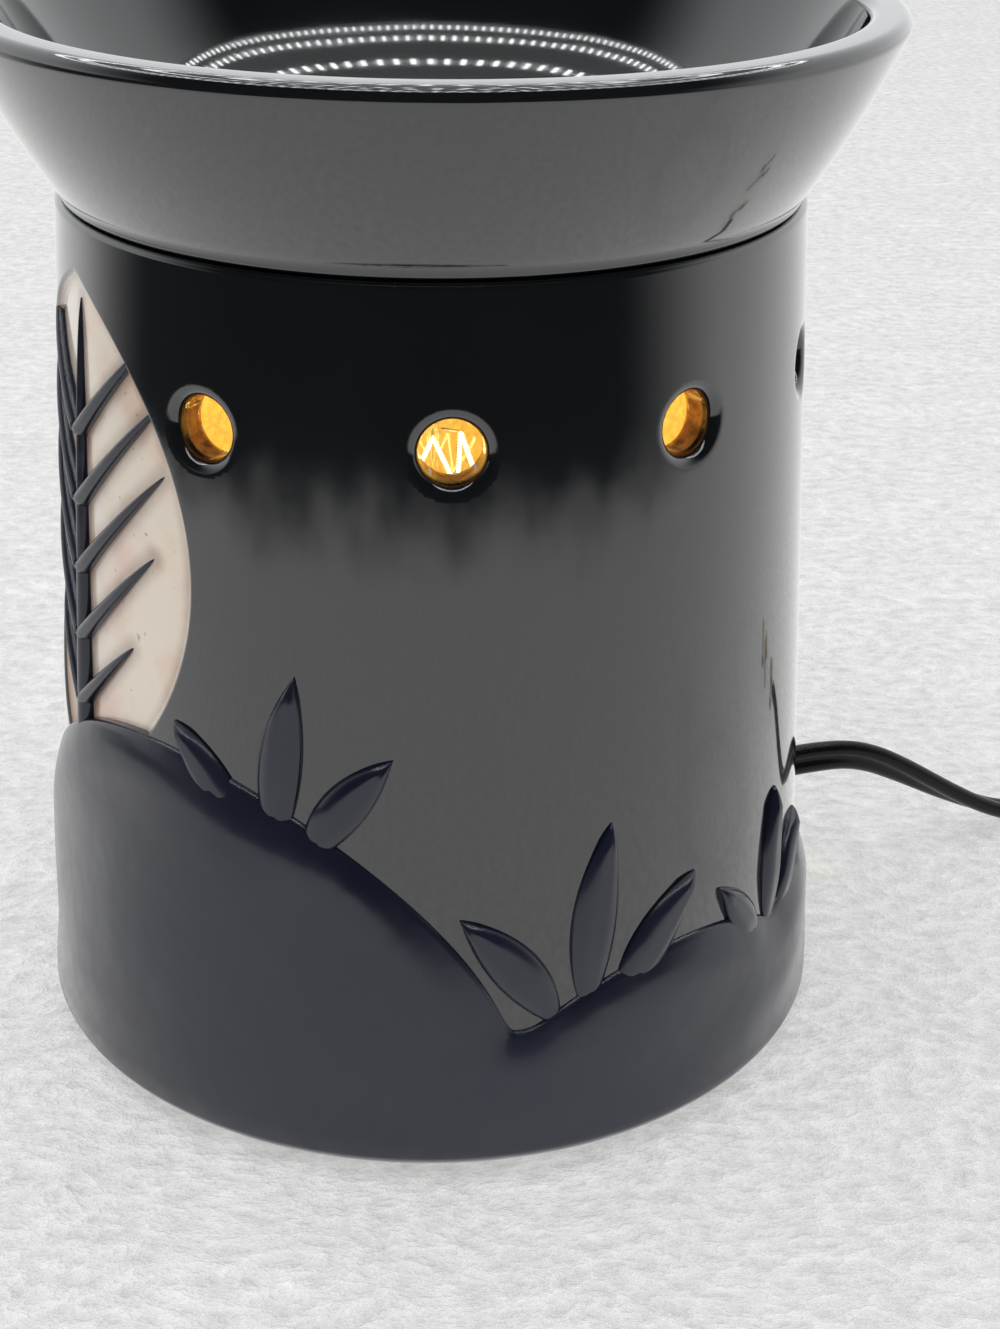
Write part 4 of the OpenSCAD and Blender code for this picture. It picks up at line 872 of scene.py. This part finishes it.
class WARMER_OT_lamp_holder(bpy.types.Operator):
    """Finishes the porcelain lamp holder and the stem that clamps it to the floor"""
    bl_idname = "warmer.lamp_holder"
    bl_label = "Lamp holder"

    def execute(self, context):
        softened("lamp_holder", "socket_body", 0.5, "porcelain")
        for name, node, width in (("holder_cup", "socket_cup", 0.2), ("holder_nuts", "stem_nuts", 0.4),
                                  ("holder_screws", "terminal_screws", 0.25)):
            softened(name, node, width, "zinc_steel")
        paint("zinc_steel", "stem_nipple", "stem_washer")
        paint("moulded_rubber", "stem_gasket")
        paint("rolled_brass", "socket_shell", "socket_contact", "socket_terminals")
        return {"FINISHED"}


def flat_lead(width, thickness):
    """Section of the two-core lead: two round cores side by side with a shallow groove between them."""
    r = thickness / 2
    right = arc(width / 2 - r, 0, r, -142, 142, 12)
    return np.concatenate([right, -right])


def stored_cord():
    """Path and roll from the switch to the plug: a U-turn, three turns in, half a turn up and three out."""
    lead = smoothed(FROM_SWITCH, 5)
    turn = np.arange(1, 6.5 * 60) / 60
    climb = np.clip(turn - COIL_TURNS, 0, 0.5) * 2
    a = np.radians(90 + 360 * turn)
    r = COIL_R - TURN_PITCH * np.minimum(turn, 2 * COIL_TURNS + 0.5 - turn)
    z = COIL_LOW + (COIL_HIGH - COIL_LOW) * (1 - np.cos(np.pi * climb)) / 2
    coil = np.column_stack([COIL_X + r * np.cos(a), COIL_Y + r * np.sin(a), z, 90 + 0 * a])
    start = [[x, COIL_Y + COIL_R, COIL_LOW, 90] for x in (144.3, 142.6, 141)]
    end = [[x, PLUG[1], COIL_HIGH, 90] for x in (140, 141, 142.6, 144, PLUG[0] + 1)]
    path = np.concatenate([lead, start, coil, end])
    return path[:, :3], path[:, 3]


def tie_rings():
    """Rings of the tie: a band with rounded edges carried round a rounded oblong on the coil's side."""
    x, z, half_x, half_z = COIL_X + 29.15, 6.15, 5.6, 5.8
    grow, across = np.array([[0.3, -4.2], [0.3, 4.2], [0.15, 4.5], [-0.15, 4.5], [-0.3, 4.2], [-0.3, -4.2],
                             [-0.15, -4.5], [0.15, -4.5]]).T
    c, s = (side[:, None] for side in rounded(around(60), 0.25))
    return np.stack([x + (half_x + grow) * c, COIL_Y + across + 0 * c, z + (half_z + grow) * s], -1)


def grommet_rings():
    """Rings of the grommet: a spool round the cord's slot. Each has a distance from the axis and a radius, or
    is the slot, a rounded oblong, where there is no radius."""
    spool = [(47.5, None), (47.45, 5.9), (47.6, 6.4), (48, 6.6), (49, 6.6), (49.4, 6.4), (49.44, 4.9),
             (55.4, 4.9), (55.44, 6.3), (55.9, 6.6), (56.7, 6.55), (57.2, 6.2), (57.44, 5.5), (57.3, None)]
    a = around(64)
    slot, circle = np.multiply([[1.5], [2.75]], rounded(a, 0.5)), np.array([np.cos(a), np.sin(a)])
    across, up = np.array([slot if r is None else r * circle for _, r in spool]).transpose(1, 0, 2)
    out = np.array([out for out, _ in spool])[:, None] + 0 * a
    return facing(CORD_AZ, out, across, CORD_Z + up)


class WARMER_OT_cord(bpy.types.Operator):
    bl_idname = "warmer.cord"
    bl_label = "Cord"

    def execute(self, context):
        p = context.scene.warmer_cord
        vinyl = "flex_vinyl", "base", "cord_vinyl"
        section = flat_lead(p.width / MM, p.thickness / MM)
        route = smoothed(TO_SWITCH, 6)
        first, rest = (route[:, :3], route[:, 3]), stored_cord()
        to_switch = piece("cord_to_switch", capped(swept(*first, section)), *vinyl, ["cord_lead"])
        to_plug = piece("cord_to_plug", capped(swept(*rest, section)), *vinyl, ["cord_middle", "cord_coil"])
        a = around(14)
        disc = LEAD_R * np.column_stack([np.cos(a), np.sin(a)])
        for i, lead in enumerate(LEADS):
            path = smoothed(lead, 6)
            core = piece(f"core_{i + 1}", capped(swept(path, 0 * path[:, 0], disc)), *vinyl, ["socket_leads"])
        tie = piece("tie", tie_rings(), *vinyl, ["coil_tie"], loop=True, sharp=60)
        piece("grommet", grommet_rings(), "moulded_rubber", "base", "soft_rubber", ["cord_grommet"],
              loop=True, sharp=60)
        path = first[0]
        exit_at = at_azimuth(wall_radius(CORD_Z), CORD_AZ, CORD_Z)
        path = rest[0]
        return {"FINISHED"}


class WARMER_OT_switch(bpy.types.Operator):
    """Makes the thumbwheel switch on the cord"""
    bl_idname = "warmer.switch"
    bl_label = "Cord switch"

    def execute(self, context):
        for name, node in (("switch_base", "switch_lower"), ("switch_top", "switch_upper")):
            softened(name, node, 0.7, "moulded_plastic")
        softened("cover_screws", "switch_screws", 0.2, "zinc_steel")
        # The thumbwheel is a disc with a rounded rim, cut by grip grooves that narrow its radius
        segments, grooves, groove_depth = 288, 24, 0.55
        wall = np.array([[1.3, 2.3], [1.3, -2.3], [6.6, -2.3], [7.3, -2.15], [7.8, -1.8], [8, -1.3], [8, 0],
                         [8, 1.3], [7.8, 1.8], [7.3, 2.15], [6.6, 2.3]])
        rings, r = turned(wall, segments), wall[:, :1]
        groove = groove_depth * np.clip(np.cos(grooves * around(segments)), 0, 1) ** 1.5 * step(r, 6.6, 7.6)
        rings[:, :, :2] *= (1 - groove / r)[:, :, None]
        piece("thumbwheel", rings + np.array(WHEEL), "moulded_plastic", "wheel", "switch_plastic",
              ["switch_wheel"], loop=True, sharp=60)
        paint("zinc_steel", "switch_axle")
        paint("rolled_brass", "switch_contacts")
        return {"FINISHED"}


def plug_rings():
    """Rings of the plug along X: a tapered, grooved sleeve, a round shoulder, and a body with a waisted grip
    and a rounded front. Sections go from round on the sleeve to a rounded oblong."""
    sleeve_l, shoulder, plug_l, nose, half_y, half_z = 26, 2.2, 50, 1.4, 12, 9
    quarter = np.linspace(0, np.pi / 2, 7)
    s = np.concatenate([np.linspace(0, 25, 76), sleeve_l + shoulder * (1 - np.cos(quarter)),
                        np.linspace(29, 48.4, 26),
                        plug_l - nose * (1 - np.sin(np.linspace(0.15, np.pi / 2, 6)))])
    grooves = np.clip(np.cos(2 * np.pi * s / 4.2), 0, 1) * step(s, 2, 3) * step(-s, -24, -23)
    sleeve = 3.4 + 2.6 * s / sleeve_l - 0.5 * grooves
    short = np.clip(sleeve_l + shoulder - s, 0, shoulder) / shoulder
    past = np.clip(s - plug_l + nose, 0, nose) / nose
    grow, front = np.sqrt(1 - short ** 2), nose * (1 - np.sqrt(1 - past ** 2))
    grip = 0.9 * np.sin(np.pi * np.clip((s - 30) / 17, 0, 1)) ** 2
    on_sleeve = s < sleeve_l
    wide = np.where(on_sleeve, sleeve, sleeve + (half_y - sleeve) * grow - front - grip)[:, None]
    high = np.where(on_sleeve, sleeve, sleeve + (half_z - sleeve) * grow - front)[:, None]
    across, up = rounded(around(96)[None], np.where(on_sleeve, 1, 1 - 0.28 * grow)[:, None])
    return capped(np.stack([s[:, None] + 0 * across, wide * across, high * up], -1) + np.array(PLUG))


class WARMER_OT_plug(bpy.types.Operator):
    """Makes the plug with its ribbed sleeve and its blades"""
    bl_idname = "warmer.plug"
    bl_label = "Plug"

    def execute(self, context):
        piece("plug", plug_rings(), "moulded_plastic", "base", "plug_plastic", ["plug_body"], sharp=50)
        softened("blades", "plug_blades", 0.25, "rolled_brass")
        return {"FINISHED"}


def aimed(right, up, ahead, place):
    """Matrix of a camera or lamp that looks ahead from a place."""
    return Matrix([(right[i], up[i], -ahead[i], place[i]) for i in range(3)] + [(0, 0, 0, 1)])


class WARMER_OT_stage(bpy.types.Operator):
    """Sets the camera, the pale floor, the studio light and the bulb's own light"""
    bl_idname = "warmer.stage"
    bl_label = "Stage"
    not_reflections = "camera", "diffuse", "transmission", "shadow", "volume_scatter"

    def execute(self, context):
        scene = context.scene
        p, lamp = scene.warmer_stage, scene.warmer_lamp
        scene.view_settings.view_transform = "Standard"
        camera = bpy.data.cameras.new("camera")
        camera.sensor_fit, camera.sensor_height, camera.lens = "VERTICAL", 36, 60.95
        camera.clip_start = 0.01
        scene.camera = linked("camera", camera)
        scene.camera.matrix_world = aimed((0.99955, -0.02681, 0.01322), (-0.00039, 0.43026, 0.90270),
                                          (0.02989, 0.90230, -0.43006), (0, -0.30045, 0.19335))
        self.floor(p.floor)
        self.dark_room()
        self.sky(scene, p.sky)
        self.ring_lamp()
        self.softbox("key_light", (-0.22, -0.08, 1.15), (0, 0, 0.08), 0.95, p.key)
        bulb = bpy.data.lights.new("bulb_light", "POINT")
        bulb.energy, bulb.color, bulb.shadow_soft_size = lamp.power, lamp.glow, 0.005
        light = linked("bulb_light", bulb)
        light.location = (0, 0, 0.0835)
        hidden_from(light, "camera", "glossy", "transmission")
        return {"FINISHED"}

    def floor(self, tint):
        """Pale fleece with a short pile. The viewer and reflections see it partly as an even white, and it
        keeps shadows."""
        curl_mm, curl_reach, pile_mm, pile_depth = 30, 12, 2.8, 4
        white, direct_share, mirror_share = 1.08, 0.5, 0.9
        material, node, shade, place = new_material("pale_fleece", Roughness=0.9)
        curl = node("TexNoise", {"Vector": place, "Scale": 1 / (curl_mm * MM), "Detail": 1}, "Color")
        bent = node("VectorMath", {0: curl, 1: (curl_reach * MM, curl_reach * MM, 0)}, operation="MULTIPLY")
        bent = node("VectorMath", {0: bent, 1: place})
        combed = node("VectorMath", {0: bent, 1: (0.7, 1, 1)}, operation="MULTIPLY")
        pile = node("TexNoise", {"Vector": combed, "Scale": 1 / (pile_mm * MM), "Detail": 4,
                                 "Roughness": 0.65})
        tuft = node("MapRange", {"Value": pile, "From Min": 0.3, "From Max": 0.7})
        dark, light = np.multiply(tint, 0.8), np.clip(np.multiply(tint, 1.08), 0, 1)
        tone = node("Mix", {0: tuft, 6: dark, 7: light}, **COLOURS)
        shade({"Base Color": tone,
               "Normal": node("Bump", {"Height": pile, "Distance": pile_depth * MM})})
        rays = node("LightPath", out=None)
        direct = node("Math", {0: rays["Is Camera Ray"], 1: rays["Is Transmission Ray"]}, operation="MAXIMUM")
        seen = node("Math", {0: direct, 1: direct_share}, operation="MULTIPLY")
        share = node("Math", {0: rays["Is Glossy Ray"], 1: mirror_share, 2: seen}, operation="MULTIPLY_ADD")
        self.overlay(material, share, node("Emission", {"Color": tone, "Strength": white}))
        self.plane("floor", 0, material)

    def dark_room(self):
        """What the glaze mirrors past the fleece's front edge: a dark floor with a soft, uneven edge. Only
        reflections see it."""
        ripple_mm, ripple_reach, edge_from, edge_to, clear_height = 90, 0.12, 0.37, 0.48, 0.0005
        material, node, _, place = new_material("dark_card", Base_Color=(0.012, 0.012, 0.013), Roughness=0.9)
        out = node("VectorMath", {0: place}, "Value", operation="LENGTH")
        front = node("VectorMath", {0: place, 1: (-0.3, -0.95, 0)}, "Value", operation="DOT_PRODUCT")
        turned_to = node("Math", {0: front, 1: out}, operation="DIVIDE")
        ripple = node("TexNoise", {"Vector": place, "Scale": 1 / (ripple_mm * MM), "Detail": 2})
        edge = node("Math", {0: ripple, 1: ripple_reach, 2: out}, operation="MULTIPLY_ADD")
        far = node("MapRange", {"Value": edge, "From Min": edge_from, "From Max": edge_to}, **SOFT)
        ahead = node("MapRange", {"Value": turned_to, "From Min": -0.35, "From Max": 0.35}, **SOFT)
        cover = node("Math", {0: far, 1: ahead}, operation="MULTIPLY")
        self.overlay(material, cover, node("BsdfTransparent"), over=False)
        hidden_from(self.plane("reflection_card", clear_height, material), *self.not_reflections)

    def ring_lamp(self):
        """What the glaze mirrors overhead: a dim round face with four hoops and rows of small bright lamps on
        them, which only reflections see. A row is a thin ring with two of every three cells left out."""
        middle, layer = np.array([0, 0.175, 0.6]), np.array([0, 0, 0.0005])
        hoops = ((0.465, 140), (0.398, 100), (0.271, 60), (0.165, 36))
        layers = (("lamp_face", 0.4, 0.19, 1, ((0.31, 64),)), ("lamp_hoops", 1.5, 0.004, 1, hoops),
                  ("lamp_rows", 16, 0.014, 3, hoops))
        for level, (name, strength, half, every, rings) in enumerate(layers):
            material = new_material(name, Base_Color=(0, 0, 0), Emission_Strength=strength,
                                    Emission_Color=(0.97, 0.99, 1))[0]
            points = []
            for radius, cells in rings:
                ring = turned([[radius - half, 0], [radius + half, 0]], cells * every).reshape(-1, 3)
                points.append(ring[quads(2, cells * every)[::every]] + middle - level * layer)
            corners, faces = np.unique(np.concatenate(points).reshape(-1, 3), axis=0, return_inverse=True)
            hidden_from(self.card(name, corners, faces.reshape(-1, 4), material), *self.not_reflections)

    @staticmethod
    def overlay(material, share, surface, over=True):
        """Mixes a second surface over or under the material's own by a share."""
        tree = material.node_tree
        own = tree.nodes["Principled BSDF"].outputs[0]
        under, upper = (own, surface) if over else (surface, own)
        mixed = add(tree, "MixShader", {0: share, 1: under, 2: upper})
        fill(tree, tree.nodes["Material Output"], {"Surface": mixed})

    @staticmethod
    def sky(scene, strength):
        """Even light on the object. Reflections see a white surround behind, and a dark room in front."""
        scene.world = bpy.data.worlds.new("studio")
        scene.world.use_nodes = True
        tree = scene.world.node_tree
        aim = add(tree, "TexCoord", out="Generated")
        front = add(tree, "VectorMath", {0: aim, 1: (0, -0.894, 0.447)}, "Value", operation="DOT_PRODUCT")
        room = add(tree, "MapRange", {"Value": front, "From Min": -0.1, "From Max": 0.5, "To Min": 1,
                                      "To Max": 0.02}, **SOFT)
        level = add(tree, "Mix", {0: add(tree, "LightPath", out="Is Glossy Ray"), 2: strength, 3: room})
        fill(tree, tree.nodes["Background"], {"Strength": level, "Color": (0.97, 0.99, 1)})

    def plane(self, name, height, material):
        """A level square of the stage, 6 m wide."""
        half = 3
        corners = [(-half, -half, height), (half, -half, height), (half, half, height), (-half, half, height)]
        return self.card(name, np.array(corners), np.array([[0, 1, 2, 3]]), material)

    @staticmethod
    def card(name, points, faces, material):
        """A flat piece of the stage, from points in metres."""
        mesh = bpy.data.meshes.new(name)
        mesh.from_pydata(points.tolist(), [], faces.tolist())
        mesh.materials.append(material)
        obj = linked(name, mesh)
        return obj

    @staticmethod
    def softbox(name, place, aim, size, power):
        """A round lamp that faces a point and that reflections don't see."""
        data = bpy.data.lights.new(name, "AREA")
        data.shape, data.size, data.energy = "DISK", size, power
        obj = linked(name, data)
        ahead = unit(np.subtract(aim, place))
        side = unit(np.cross(ahead, (0, 1, 0)))
        obj.matrix_world = aimed(side, np.cross(side, ahead), ahead, place)
        hidden_from(obj, "glossy")


class WARMER_OT_light_path(bpy.types.Operator):
    """Lets the bulb's light through its own glass, and keeps the stored cord, which the view leaves out, out
    of the glaze's reflections"""
    bl_idname = "warmer.light_path"
    bl_label = "Light path"

    def execute(self, context):
        shades = bpy.data.collections.new("lamp_shades")
        for name in ("body", "dish", "lamp_holder", "floor"):
            shades.objects.link(bpy.data.objects[name])
        bpy.data.objects["bulb_light"].light_linking.blocker_collection = shades
        for name in ("cord_to_plug", "tie", "plug", "blades", "switch_top", "switch_base", "thumbwheel"):
            hidden_from(bpy.data.objects[name], "glossy")
        return {"FINISHED"}


class WARMER_PT_panel(bpy.types.Panel):
    """Lists the warmer's pieces in the order in which they are made"""
    bl_idname = "WARMER_PT_panel"
    bl_label = "Wax warmer"
    bl_space_type = "VIEW_3D"
    bl_region_type = "UI"
    bl_category = "Warmer"

    def draw(self, context):
        for operator in OPERATORS:
            self.layout.operator(operator.bl_idname)
        for key in GROUPS:
            box = self.layout.box()
            group = getattr(context.scene, key)
            for prop in group.bl_rna.properties:
                if prop.identifier not in ("rna_type", "name"):
                    box.prop(group, prop.identifier)


OPERATORS = (WARMER_OT_stage, WARMER_OT_switch, WARMER_OT_plug, WARMER_OT_cord, WARMER_OT_body,
             WARMER_OT_dish, WARMER_OT_bulb, WARMER_OT_lamp_holder, WARMER_OT_light_path)
GROUPS = {"warmer_body": WarmerBody, "warmer_lamp": WarmerLamp, "warmer_cord": WarmerCord,
          "warmer_stage": WarmerStage}


def register():
    for cls in (*GROUPS.values(), *OPERATORS, WARMER_PT_panel):
        bpy.utils.register_class(cls)
    for key, group in GROUPS.items():
        setattr(bpy.types.Scene, key, PointerProperty(type=group))


def unregister():
    for key in GROUPS:
        delattr(bpy.types.Scene, key)
    for cls in (WARMER_PT_panel, *reversed(OPERATORS), *reversed(GROUPS.values())):
        bpy.utils.unregister_class(cls)


def main():
    """Makes every piece in order."""
    register()
    for operator in OPERATORS:
        group, name = operator.bl_idname.split(".")
        getattr(getattr(bpy.ops, group), name)()


if __name__ == "__main__":
    main()
